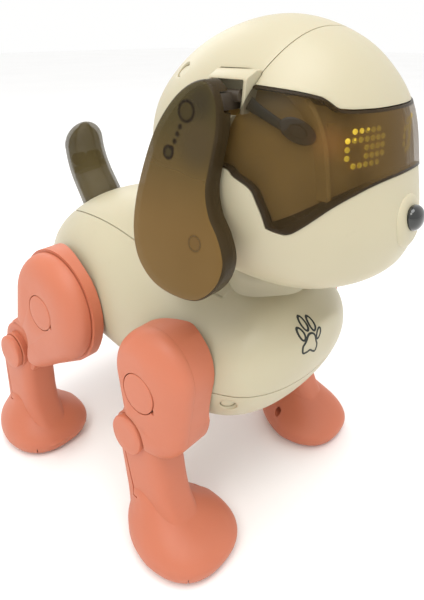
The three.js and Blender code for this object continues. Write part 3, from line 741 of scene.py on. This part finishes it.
def visor_region(name, grow):
    """The visor's outline from the front and from the side, as one solid."""
    low_edge = curve_through([(0, 171.3), (13, 170.8), (20, 169.6), (26.5, 167.3), (33.5, 163), (38.3, 157.7),
                              (40.3, 154.9)])
    bottom = [(x, float(low_edge(x))) for x in np.linspace(0, 40.3, 26)]
    bottom += [(41, 154.5), (44.5, 156.3), (60, 156.3)]
    top = [(60, 205), (44, 202.9), (41, 202.3), (38, 201.3), (36.3, 200.7), (33.6, 199.8), (31.3, 198.9),
           (29.6, 198.2), (28.6, 196.9), (27.6, 195.3), (26.6, 194.6), (23, 194.2), (14, 194.0), (0, 194)]
    right = [(x, z - grow) for x, z in bottom] + [(x, z + grow) for x, z in top]
    left = [(-x, z) for x, z in reversed(right)]
    front = prism(name, right + left[1:-1], 1, -130, -40)
    back_edge = curve_through([(156.3, -76.6), (161, -75.3), (166, -73.2), (170.5, -69.6), (173.6, -64.5),
                               (175.6, -59), (176.4, -50)])
    rear = [(float(back_edge(z)) + grow, z - grow) for z in np.linspace(156.3, 176.4, 26)]
    side = [(-130, 140), (-78.6, 155.4 - grow)] + rear + [(-50, 212), (-130, 212)]
    boolean(front, prism("side", side, 0, -90, 90), "INTERSECT")
    return front


HEAD_SEAM = [(-57, 100), (-57, 168), (-58.2, 178), (-80, 234)]


def behind_seam(shift):
    points = [(y + shift, z) for y, z in HEAD_SEAM] + [(40, 234), (40, 100)]
    return prism("behind", points, 0, -90, 90)


EAR_FRAME_SIDE = [(-69.4, 206.4), (-52.3, 206.4), (-52.3, 192), (-65.4, 192)]   # (y, z)


def frame_block(grow):
    middle = np.array([-60, 199])
    outline = [middle + (np.array(corner) - middle) * (1 + grow / 8) for corner in EAR_FRAME_SIDE]
    return prism("frame", outline, 0, 36 - grow, 70)


def frame_holes():
    """Cutters for the holes that the ear frames sit in."""
    hole = frame_block(0.2)
    return mirrored(hole, "hole_right"), hole


def build_head():
    outer = head_form("head", 0, 100, 144)
    inner = head_form("inner", 2.0, 50, 72)
    shell = cut(outer, inner)
    cut(shell, *frame_holes(), rod(2, (0, NECK_Y), 12.4, 105, 134))
    add_plugs(shell, "head_plug", (33.6, -31.2, 204.6), (0.66, 0.27, 0.70), 3.2, "head")
    rear = copy_of(shell, "head_rear_shell")
    boolean(rear, behind_seam(GAP), "INTERSECT")
    face = cut(shell, behind_seam(-GAP), visor_region("region", GAP))
    dome = copy_of(face, "head_dome")
    boolean(dome, block((-90, -130, 186), (90, 40, 240)), "INTERSECT")
    face.name = "face_shell"
    boolean(face, block((-90, -130, 90), (90, 40, 186)), "INTERSECT")
    cut(face, rod(1, (0, 155.2), 4.6, -118, -104))
    visor = cut(head_form("visor", -0.35, 100, 144), head_form("inner", 1.5, 50, 72), behind_seam(-GAP))
    cut(visor, *frame_holes())
    boolean(visor, visor_region("region", -GAP), "INTERSECT")
    for node, piece in (("head_rear_shell", rear), ("head_dome", dome), ("face_shell", face)):
        soften(piece, 0.22)
        finish_piece(piece, CREAM, "head", [node])
    soften(visor, 0.4)
    rim = cut(copy_of(visor, "visor_rim"), visor_region("region", -1.15))
    boolean(visor, visor_region("region", -1.15), "INTERSECT")
    finish_piece(visor, VISOR, "head", ["visor"])
    finish_piece(rim, VISOR_RIM, "head")


def head_front_y(x, z):
    """Where the face's surface lies, for a point seen from the front."""
    share = min(abs(x) / float(head_wide(z)), 1.0)
    y = float(head_mid(z)) - float(head_reach(z)) * (1 - share ** HEAD_POWER) ** (1 / HEAD_POWER)
    return y - MUZZLE_RISE * muzzle(x, z)


def build_nose():
    """A glossy rounded-triangle nose, wider above, on the raised tip of the muzzle."""
    rings = []
    tip = ((9.9, -0.8), (9.9, -0.05), (9.7, 0.3), (9.2, 0.62), (8.4, 0.8), (7, 0.9), (0.2, 1.0))
    for radius, rise in tip:
        rings.append([(x, head_front_y(x, z) - rise, z) for x, z in circle((0, 153.6), radius, 64)])
    finish_piece(loft("muzzle_tip", rings), CREAM, "head", sharp=60)
    rings = []
    angle = full_turn(64)
    for turn in np.linspace(0.04, math.pi / 2 + 0.35, 26):
        reach = math.sin(turn)
        deep = math.cos(turn)
        x = 5.1 * reach * power(np.cos(angle), 0.92) * (1 + 0.10 * np.sin(angle))
        z = 155.2 + 4.7 * reach * power(np.sin(angle), 0.95)
        rings.append(np.column_stack([x, np.full(64, -109.3 - 3.45 * deep), z]))
    finish_piece(loft("nose", rings), NOSE, "head", ["nose"])


EYE_ROWS = ["_XXXXX_", "XXXXXXX", "X__XXXX", "X__XXXX", "_XXXXX_"]   # from the outer column to the inner
EYE_RADIUS = 64.55
DOT_PROFILE = ((0.98, 0.0), (0.98, 0.35), (0.72, 0.6), (0.2, 0.7))           # (radius, height)


def build_eyes():
    """The lit dots of both eyes, on the arc behind the visor."""
    pitch, inset, arc_y, top = 2.83, 9.0, -36.2, 181.71 + 2 * 2.83
    sides = 14
    for word, side in (("left", 1), ("right", -1)):
        points, faces = [], []
        for line, cells in enumerate(EYE_ROWS):
            for column, cell in enumerate(cells):
                if cell != "X":
                    continue
                step = column if side > 0 else 6 - column
                turn = side * (inset + step * pitch) / 64.2
                out = np.array([math.sin(turn), -math.cos(turn), 0])
                across = np.array([math.cos(turn), math.sin(turn), 0])
                middle = np.array([0, arc_y, top - line * pitch]) + out * (EYE_RADIUS - 0.7)
                start = len(points)
                for radius, height in DOT_PROFILE:
                    for a in full_turn(sides):
                        points.append(middle + out * height + across * radius * math.cos(a)
                                      + np.array([0, 0, radius * math.sin(a)]))
                faces.append(tuple(range(start, start + sides)))
                for a in range(start, start + 3 * sides, sides):
                    for j in range(sides):
                        k = (j + 1) % sides
                        b = a + sides
                        faces.append((a + j, b + j, b + k, a + k))
                faces.append(tuple(range(start + 3 * sides, start + 4 * sides)))
        finish_piece(put(f"eye_lights_{word}", points, faces), LIGHT, "head", sharp=60)


def build_visor_inside():
    """The ear linkage seen through the visor: a tapered arm that ends in a screw boss, and a backing."""
    for word, side in (("left", 1), ("right", -1)):
        path = np.array([(40.1, -66.6, 196.2), (39.8, -72, 193.4), (38.5, -78.2, 190), (36, -83.3, 188.1)])
        path = (path - HEAD_MIDDLE) * 0.985 + HEAD_MIDDLE
        path[:, 0] *= side
        arm_to = path[-1]
        along = path[-1] - path[0]
        out = np.array([side * 0.8, -0.6, 0.1])
        up = np.cross(along, out)
        up /= np.linalg.norm(up)
        outline = circle((0, 0), 1.0, 40)
        rings = []
        for centre, half in zip(path, (2.2, 1.7, 1.5, 1.9)):
            rings.append([centre + up * half * u + out * 0.7 * v for u, v in outline])
        finish_piece(loft(f"visor_arm_{word}", rings), INSIDE, "head", sharp=60)
        ahead = np.cross(out, up)
        rings = []
        dish = ((5.2, -1.6), (6.0, -1.2), (6.0, 0.3), (5.4, 0.7), (3.2, 0.75), (2.6, 0.2), (0.5, 0.1))
        for half, depth in dish:
            rings.append([arm_to + ahead * half * 1.05 * u * -1 + up * half * 0.62 * v + out * depth
                          for u, v in outline])
        finish_piece(loft(f"visor_boss_{word}", rings), INSIDE, "head")
    backing = head_form("visor_backing", 5.0, 60, 96)
    boolean(backing, head_form("inner", 6.2, 40, 64))
    middle = row(*HEAD_MIDDLE)
    stretch = Matrix.Translation(middle) @ Matrix.Diagonal((1, 1.022, 1, 1)) @ Matrix.Translation(-middle)
    backing.data.transform(stretch)
    boolean(backing, visor_region("region", 0.5), "INTERSECT")
    boolean(backing, block((-60, -130, 150), (60, -57.5, 203)), "INTERSECT")
    finish_piece(backing, BACKING, "head")
    walls = head_form("visor_walls", 1.9, 60, 96)
    boolean(walls, head_form("inner", 6.0, 40, 64))
    boolean(walls, visor_region("region", -0.8), "INTERSECT")
    boolean(walls, block((-31.6, -130, 150), (31.6, -57.5, 203)), "INTERSECT")
    cut(walls, block((-30.6, -130, 150), (30.6, -57.5, 203)))
    finish_piece(walls, BACKING, "head")


def build_ear_frames():
    """A cream bracket with a sloping top and a slim leaning bar in front of the ear arm's slot."""
    made = frame_block(0)
    section = [(35.9, 191), (35.9, 206.3), (38.9, 206.2), (42.8, 204.2), (43.5, 203.3), (41.2, 191)]
    boolean(made, prism("section", section, 1, -80, -40), "INTERSECT")
    slot = [(-67.2, 203.3), (-53.6, 203.3), (-53.6, 185), (-62.0, 185)]
    cut(made, prism("slot", slot, 0, 38.4, 50))
    soften(made, 0.5, 3)
    pair(made, "ear_frame_{side}", CREAM, "head", ["ear_frame_{side}"])


# ---------------------------------------------------------------- ears
EAR_OUTLINE = closed_curve([(-57.4, 203.6), (-50.5, 201.2), (-43.5, 195.5), (-36.5, 186), (-31, 173),
                            (-27.2, 159), (-26.6, 147), (-30, 137.5), (-38, 131), (-49, 129), (-60, 130.6),
                            (-68, 137.5), (-71, 146), (-68.6, 154), (-64, 161), (-62, 169), (-63.3, 178),
                            (-65, 188), (-64.4, 197), (-61.5, 202)], 220)
def ear_rings(profile):
    """Rings of the ear's outline from (inset, depth under the outer face) points."""
    normal = outward(EAR_OUTLINE)
    rings = []
    for inset, depth in profile:
        edge = EAR_OUTLINE - normal * inset
        x = EAR_FACE - depth + EAR_LEAN * (204 - edge[:, 1])
        rings.append(np.column_stack([x, edge]))
    return rings


def build_ears():
    turn = np.radians(np.linspace(0, 90, 6))
    rounded = [(1.5 * (1 - math.cos(a)), 1.5 * (1 - math.sin(a))) for a in turn]
    profile = [(3.2, 1.45), (2.2, 1.6), (1.6, 2.4), (1.5, 6.8), (1.2, 7.0), (0.3, 7.0), (0, 6.7)]
    profile += rounded + [(2.6, -0.08), (4.0, -0.12)]
    shell = loft("ear_left_shell", ear_rings(profile))
    notch = block((30, -65, 193.2), (50, -57.9, 200))
    back = loft("ear_left_back", ear_rings([(2.6, 5.3), (1.9, 5.5), (1.8, 6.3), (2.1, 6.6), (4, 6.65)]))
    cut(shell, copy_of(notch, "notch_copy"))
    cut(back, notch)
    for side, piece in (("left", shell), ("right", mirrored(shell, "ear_right_shell"))):
        finish_piece(piece, EAR, f"ear_{side}", [f"ear_{side}_shell"])
        paint_rim_shade(piece, EAR_RIM_SHADE)
    pair(back, "ear_{side}_back", EAR_BACK, "ear_{side}", ["ear_{side}_back"])
    bosses = []
    for (y, z), radius in ((UPPER_POST, 3.7), (LOWER_POST, 2.5)):
        post = [(radius * 0.62, 40), (radius, 40), (radius, 57), (radius * 0.62, 57)]
        base = turned("boss", post, (y, z), axis=0, count=40)
        slide = EAR_LEAN * (204 - z)
        base.data.transform(Matrix.Translation((slide * MM, 0, 0)))
        cut(base, block((0, -120, 100), (EAR_FACE - 5.0 + slide, 40, 240)))
        cut(base, block((EAR_FACE - 1.75 + slide, -120, 100), (90, 40, 240)))
        bosses.append(base)
    rib = np.array([ear_point(-50.4, 190.2, 2.3), ear_point(-45.6, 181.4, 2.3)])
    across = np.array([0, 0.79, 0.61])
    rings = []
    for end in rib:
        rings.append([end + across * u * 0.7 + np.array([v * 1.4 - 1.2, 0, 0]) for u, v in
                      ((-1, -1), (1, -1), (1, 0.4), (-1, 0.4))])
    bosses.append(loft("rib", rings))
    for index, piece in enumerate(bosses):
        pair(piece, "ear_{side}_boss_" + str(index + 1), INSIDE, "ear_{side}")
    web_outline = closed_curve([(-61, 199), (-57.5, 200), (-55, 196), (-50.5, 186), (-46.5, 179),
                                (-48, 176.5), (-56, 174.5), (-60.2, 177), (-61.5, 188)], 90)
    web_x = EAR_FACE + EAR_LEAN * (204 - web_outline[:, 1])
    web = [np.column_stack([web_x - depth, web_outline]) for depth in (5.0, 3.9)]
    pair(loft("web", web), "ear_{side}_web", INSIDE, "ear_{side}")
    arm = block((39.7, -63.0, 193.8), (49.4, -58.5, 199.4))
    boolean(arm, rod(1, (42, 198.2), 2.1, -65.6, -58.0, 24), "UNION")
    soften(arm, 0.5, 3)
    pair(arm, "ear_{side}_arm", SMOKE_PART, "ear_{side}", ["ear_{side}_arm"])


def paint_rim_shade(piece, material):
    """Paints the rim of an ear darker than its face: painted shade on its rounded edge and side walls, where
    the smoke is also seen through its whole depth.
    """
    piece.data.materials.append(material)
    for face in piece.data.polygons:
        if abs(face.normal.x) < 0.8:
            face.material_index = 1


# ---------------------------------------------------------------- legs
LEG_FACE = 62.6
LEG_SEAM = 53.0
CAP_RADIUS = 8.5
FOOT_X = 48.5
SHIN_X = 51.6


def stadium(first, second, grow=0.0, grow_second=0.0):
    """The outline round two circles, given as (y, z, radius), and the straight sides that join them."""
    (y1, z1, r1), (y2, z2, r2) = first, second
    heading = math.degrees(math.atan2(z2 - z1, y2 - y1))
    lean = math.degrees(math.acos((r1 - r2) / math.hypot(y2 - y1, z2 - z1)))
    parts = [arc((y1, z1), r1 + grow, heading + lean, heading - lean + 360, 64),
             arc((y2, z2), r2 + grow_second, heading - lean, heading + lean, 40)]
    joined = []
    for part, after in ((parts[0], parts[1]), (parts[1], parts[0])):
        joined.append(part)
        joined.append(np.linspace(part[-1], after[0], 10)[1:-1])
    return np.vstack(joined)


def thigh_rings(leg, profile, grow=0.0, soft_side=0.0):
    """Rings from (inset, x) points. soft_side widens the rounding on the side that faces forward."""
    outline = stadium(leg["crown"], leg["low"], grow, min(grow, 0))
    normal = outward(outline)
    reach = 1 + soft_side * np.clip(-normal[:, 0], -0.8, 1)
    rings = []
    for inset, x in profile:
        edge = outline - normal * (inset * reach)[:, None]
        rings.append(np.column_stack([np.full(len(edge), x), edge]))
    return rings


def dome_profile(leg, seam):
    wide, tall = leg["dome"]
    rise = [(d, LEG_FACE - tall + tall * (1 - (1 - d / wide) ** 2.2) ** (1 / 2.2))
            for d in wide * (1 - np.cos(np.linspace(0, math.pi / 2, 18))) ** 1.25]
    return [(0, seam)] + rise


def shin_form(leg, grow=0.0):
    y0, deep = leg["shin"]
    angle = full_turn(96)
    rings = []
    for z in np.concatenate([np.linspace(7, 30, 24), np.linspace(32, 57, 8), [58.5, 59.5, 60]]):
        flare = 1 + 0.12 * max(0, (27 - z) / 19) ** 2
        ahead = 4.0 * max(0, (33 - z) / 14) ** 1.7
        top = math.sqrt(max(0.05, 1 - max(0, (z - 55) / 5.2) ** 2))
        wide = ((9.2 * flare) + grow) * (0.6 + 0.4 * top)
        half = ((deep - 0.1) * flare + grow) * (0.6 + 0.4 * top)
        y = y0 - leg["lean"] * (58 - z)
        across = power(np.sin(angle), 0.55)
        rings.append(np.column_stack([SHIN_X + wide * power(np.cos(angle), 0.55),
                                      y + half * across - ahead * np.clip(-across, 0, 1), np.full(96, z)]))
    return loft("shin", rings)


FOOT_SOLE = [(0.8, 0.80), (1.6, 0.885), (3.5, 0.965), (6.5, 1.0)]
FOOT_PROFILE = curve_through(FOOT_SOLE + [(9.5, 0.985), (12.5, 0.93), (15.5, 0.84), (18.5, 0.735),
                                          (21.5, 0.635), (24.5, 0.55), (27.5, 0.48), (30, 0.4)])
FOOT_TOE = curve_through(FOOT_SOLE + [(9.5, 0.97), (12.5, 0.88), (15, 0.75), (17.5, 0.60), (20, 0.48),
                                      (23, 0.40), (30, 0.3)])


def foot_form(leg):
    """A boot that is wide at the toe, narrower at the heel, and draws in under the shin."""
    angle = full_turn(120)
    rings = []
    for z in np.concatenate([[0.8, 1.1, 1.6, 2.4], np.linspace(3.5, 30, 38)]):
        reach = float(FOOT_PROFILE(z))
        under_shin = np.clip((z - 8) / 19, 0, 1) ** 1.2
        shin_y = leg["shin"][0] - leg["lean"] * (58 - z)
        tall = 0.5 + 0.5 * np.clip(np.cos(angle) + np.sin(angle), -1, 1)
        reach = tall * reach + (1 - tall) * float(FOOT_TOE(z))
        along = 25.1 * reach * power(np.sin(angle), 0.82)
        heel = np.clip(along / 25, 0, 1)
        across = 21.2 * reach * power(np.cos(angle), 0.82)
        across = across * (1 - heel * np.where(across < 0, 0.36, 0.14))
        rings.append(np.column_stack([FOOT_X + (SHIN_X - FOOT_X) * under_shin + across,
                                      leg["foot"] + (shin_y - leg["foot"]) * under_shin + along,
                                      np.full(len(angle), z)]))
    return loft("foot", rings)


def turned_about(made, place, angle):
    """Turns a mesh about an axis along X through a (y, z) place, by an angle in degrees."""
    pivot = row(0, *place)
    spin = Matrix.Rotation(math.radians(angle), 4, "X")
    made.data.transform(Matrix.Translation(pivot) @ spin @ Matrix.Translation(-pivot))
    return made


def follow_torso(inner, leg):
    """Hollows a thigh's inner face so that it clears the torso at every angle of its swing."""
    for angle in range(-36, 37, 12):
        cut(inner, turned_about(torso_form("swung", -0.7, 40, 72), leg["hip"], angle))


def leg_pair(made, name, word, on, material=CORAL):
    """A piece of a left leg and its mirror, in place of the nodes of the same names."""
    stem = name + "_{side}_" + word
    pair(made, stem, material, name + "_{side}_" + on, [stem])


def build_leg(name, leg):
    knee = leg["knee"]
    hip = leg["hip"]
    tall = leg["dome"][1]
    seam = GAP if leg["ring"] else 0.04
    outer = loft("outer", thigh_rings(leg, dome_profile(leg, LEG_SEAM + seam), soft_side=leg["soft"]))
    room = [(1.7, 40), (1.7, LEG_FACE - tall)]
    room += [(1.7 + d, x - 1.7) for d, x in dome_profile(leg, LEG_SEAM)[2:-6]]
    hollow = loft("hollow", thigh_rings(leg, room, soft_side=leg["soft"]))
    cut(outer, copy_of(hollow, "hollow_copy"))
    near = leg["inner"]
    inner_side = [(1.5, near), (0.5, near + 0.3), (0, near + 1.2), (0, LEG_SEAM - seam)]
    inner = loft("inner", thigh_rings(leg, inner_side, leg["ring"]))
    cut(inner, hollow)
    follow_torso(inner, leg)
    knuckle_room = [rod(0, knee, leg["knuckle"] + 0.5, 30, 57.9), rod(0, knee, 10.1, 30, 75)]
    if leg["lobe"]:
        room = stadium(leg["lobe"], (*knee, leg["knuckle"]), 0.3, 0.3)
        cut(outer, prism("room", room, 0, 50, 75))
        lobe = prism("lobe", stadium(leg["lobe"], (*knee, leg["knuckle"])), 0, near + 3, 57.6)
        boolean(inner, lobe, "UNION")
    swings = []
    for angle in (-10, 0, 10):
        swings.append(turned_about(shin_form(leg, 0.45), knee, angle))
    for cutter in knuckle_room + swings:
        cut(inner, copy_of(cutter, "cutter_copy"))
        cut(outer, cutter)
    notch_turn = math.radians(-35 if name == "front" else -30)
    notch_at = (hip[0] - (CAP_RADIUS + 0.4) * math.cos(notch_turn), hip[1] + 8.7 * math.sin(notch_turn))
    cut(outer, rod(0, hip, CAP_RADIUS + 0.38, LEG_FACE - 3.6, 75, 64))
    cut(outer, rod(0, notch_at, 1.9, LEG_FACE - 2.4, 75, 3))
    soften(outer, 0.2, angle=60)
    leg_pair(outer, name, "thigh_outer", "thigh")
    leg_pair(inner, name, "thigh_inner", "thigh")
    hub = turned("hub", [(6.2, near - 2.5), (6.4, near - 2.2), (6.4, LEG_SEAM + 2)], hip, axis=0)
    pair(hub, name + "_{side}_hip_hub", CORAL, name + "_{side}_thigh")
    cap = [(CAP_RADIUS, LEG_FACE - 1.6), (CAP_RADIUS, LEG_FACE - 0.15), (CAP_RADIUS - 0.25, LEG_FACE + 0.1),
           (CAP_RADIUS - 0.8, LEG_FACE + 0.2), (CAP_RADIUS / 2, LEG_FACE + 0.25), (0.2, LEG_FACE + 0.27)]
    leg_pair(turned("cap", cap, hip, axis=0), name, "hip_cap", "thigh")
    build_lower_leg(name, leg)


def build_lower_leg(name, leg):
    knee = leg["knee"]
    lower = foot_form(leg)
    boolean(lower, shin_form(leg), "UNION")
    radius = leg["knuckle"]
    inner_x = leg["inner"] + leg["knuckle_in"]
    knuckle = [(radius - 1.2, inner_x), (radius - 0.3, inner_x + 0.4), (radius, inner_x + 1.4),
               (radius, 55.6), (radius - 0.4, 56.9), (radius - 1.5, 57.5)]
    boolean(lower, turned("knuckle", knuckle, knee, axis=0), "UNION")
    boolean(lower, turned("drum", [(9.4, 45), (9.4, 60.2), (9.1, 60.5)], knee, axis=0), "UNION")
    cut(lower, prism("pad", ellipse(FOOT_X, leg["foot"], 15.3, 18.8), 2, -2, 2.9))
    top, low = leg["groove"]
    line = [(top - 0.35, 46), (top + 0.35, 46), (low + 0.35, 24.4), (low - 3.2, 25.3), (low - 3.2, 26.0),
            (low - 0.35, 25.2)]
    cut(lower, prism("line", line, 0, SHIN_X + 8.6, SHIN_X + 12))
    slit = [(FOOT_X + 11.6, leg["foot"] - 14.6), (FOOT_X + 12.2, leg["foot"] - 15.0),
            (FOOT_X + 19.2, leg["foot"] - 24.0), (FOOT_X + 18.6, leg["foot"] - 24.5)]
    cut(lower, prism("slit", slit, 2, 0, 6))
    cut(lower, rod(0, (leg["foot"] + 5, 13.5), 1.9, FOOT_X - 26, FOOT_X - 12, 32))
    soften(lower, 0.2, angle=55)
    leg_pair(lower, name, "shin", "shin")
    cap = [(CAP_RADIUS + 0.15, LEG_FACE - 1.8), (CAP_RADIUS + 0.25, LEG_FACE), (CAP_RADIUS, LEG_FACE + 0.5),
           (CAP_RADIUS - 0.5, LEG_FACE + 0.8), (CAP_RADIUS / 2, LEG_FACE + 0.85), (0.2, LEG_FACE + 0.87)]
    leg_pair(turned("cap", cap, knee, axis=0), name, "knee_cap", "shin")
    rings = [np.column_stack([ellipse(FOOT_X, leg["foot"], 15 - d, 18.5 - d), np.full(72, z)])
             for d, z in ((0.4, 0), (0, 0.4), (0, 2.5))]
    sole = loft("sole", rings)
    for step in range(-4, 5):
        groove = leg["foot"] + step * 3.6
        cut(sole, block((FOOT_X - 17, groove - 0.4, -1), (FOOT_X + 17, groove + 0.4, 0.7)))
    leg_pair(sole, name, "sole", "shin", CORAL_PAD)


def ellipse(x, y, half_x, half_y):
    angle = full_turn(72)
    return np.column_stack([x + half_x * np.cos(angle), y + half_y * np.sin(angle)])


# ---------------------------------------------------------------- neck, paw mark, inner parts


def build_neck():
    profile = [(12.4, 106), (19, 106), (18.6, 112.5), (17.6, 115), (16.9, 118), (16.6, 120.8), (16, 121.3),
               (13.2, 121.3), (12.4, 120.6)]
    collar = turned_tube("neck_collar", profile)
    finish_piece(collar, CREAM, "torso", ["neck_collar"], sharp=50)
    post = [(11.6, 109)]
    for step in range(6):
        z = 115 + step * 3.4
        post += [(11.9, z), (11.9, z + 2.0), (11.2, z + 2.3), (11.2, z + 3.1)]
    post += [(11.9, 136), (15.4, 136), (15.4, 138.4), (0.3, 138.4)]
    finish_piece(turned("neck_post", post, (0, NECK_Y)), DARK, "head", ["neck_post"])


def band(name, rings):
    """A closed skin whose rings also join end to end."""
    rings = np.array(rings)
    rows, around = rings.shape[:2]
    faces = []
    for i in range(rows):
        for j in range(around):
            k = (j + 1) % around
            n = (i + 1) % rows
            faces.append((i * around + j, n * around + j, n * around + k, i * around + k))
    return put(name, rings, faces)


def turned_tube(name, profile):
    """A closed ring about the neck from a closed (radius, height) profile."""
    return band(name, [np.insert(circle((0, NECK_Y), r, 64), 2, h, axis=1) for r, h in profile])


def chest_line(name, outline, width=0.75, proud=0.14):
    """A closed printed line on the chest, as a thin raised band."""
    outline = np.array(outline)
    normal = outward(outline)
    corners = []
    for reach, lift in ((-width / 2, proud), (width / 2, proud), (width / 2, -0.3), (-width / 2, -0.3)):
        edge = outline + normal * reach
        corners.append([(x, torso_front_y(x, z) - lift, z) for x, z in edge])
    return band(name, corners)


PAW_AT = (-10.5, 100.0)


def build_paw():
    """A generic paw outline: one pad and four toes."""
    tilt = math.radians(-14)
    turn = np.array([[math.cos(tilt), math.sin(tilt)], [-math.sin(tilt), math.cos(tilt)]])
    pad = closed_curve([(0, 1.6), (2.6, 0.6), (4.4, -2.2), (6.3, -4.6), (5.6, -7.6), (2.8, -7.4), (0, -6.5),
                        (-2.8, -7.4), (-5.6, -7.6), (-6.3, -4.6), (-4.4, -2.2), (-2.6, 0.6)], 90)
    lines = [pad]
    for across, up, lean in ((-6.4, 1.0, 24), (-2.5, 5.3, 7), (2.5, 5.3, -7), (6.4, 1.0, -24)):
        oval = ellipse(0, 0, 1.75, 2.75)[::2]
        c, s = math.cos(math.radians(lean)), math.sin(math.radians(lean))
        lines.append(oval @ np.array([[c, s], [-s, c]]) + (across, up))
    for index, line in enumerate(lines):
        placed = (line * (0.66, 0.85)) @ turn + PAW_AT
        finish_piece(chest_line(f"paw_line_{index + 1}", placed), INK, "torso")


def paint_inner_parts():
    """Inner nodes keep the frame's shapes, with a finish of their own."""
    finishes = {"main_board": BOARD, "eye_board": BOARD,
                "eye_matrix_left": BACKING, "eye_matrix_right": BACKING}
    for name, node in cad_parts.items():
        if not node.hide_render:
            node.data.materials.clear()
            node.data.materials.append(finishes.get(name, DARK))


build_torso()
build_tail()
build_head()
build_nose()
build_eyes()
build_visor_inside()
build_ear_frames()
build_ears()
for leg_name, leg_sizes in LEGS.items():
    build_leg(leg_name, leg_sizes)
build_neck()
build_paw()
paint_inner_parts()
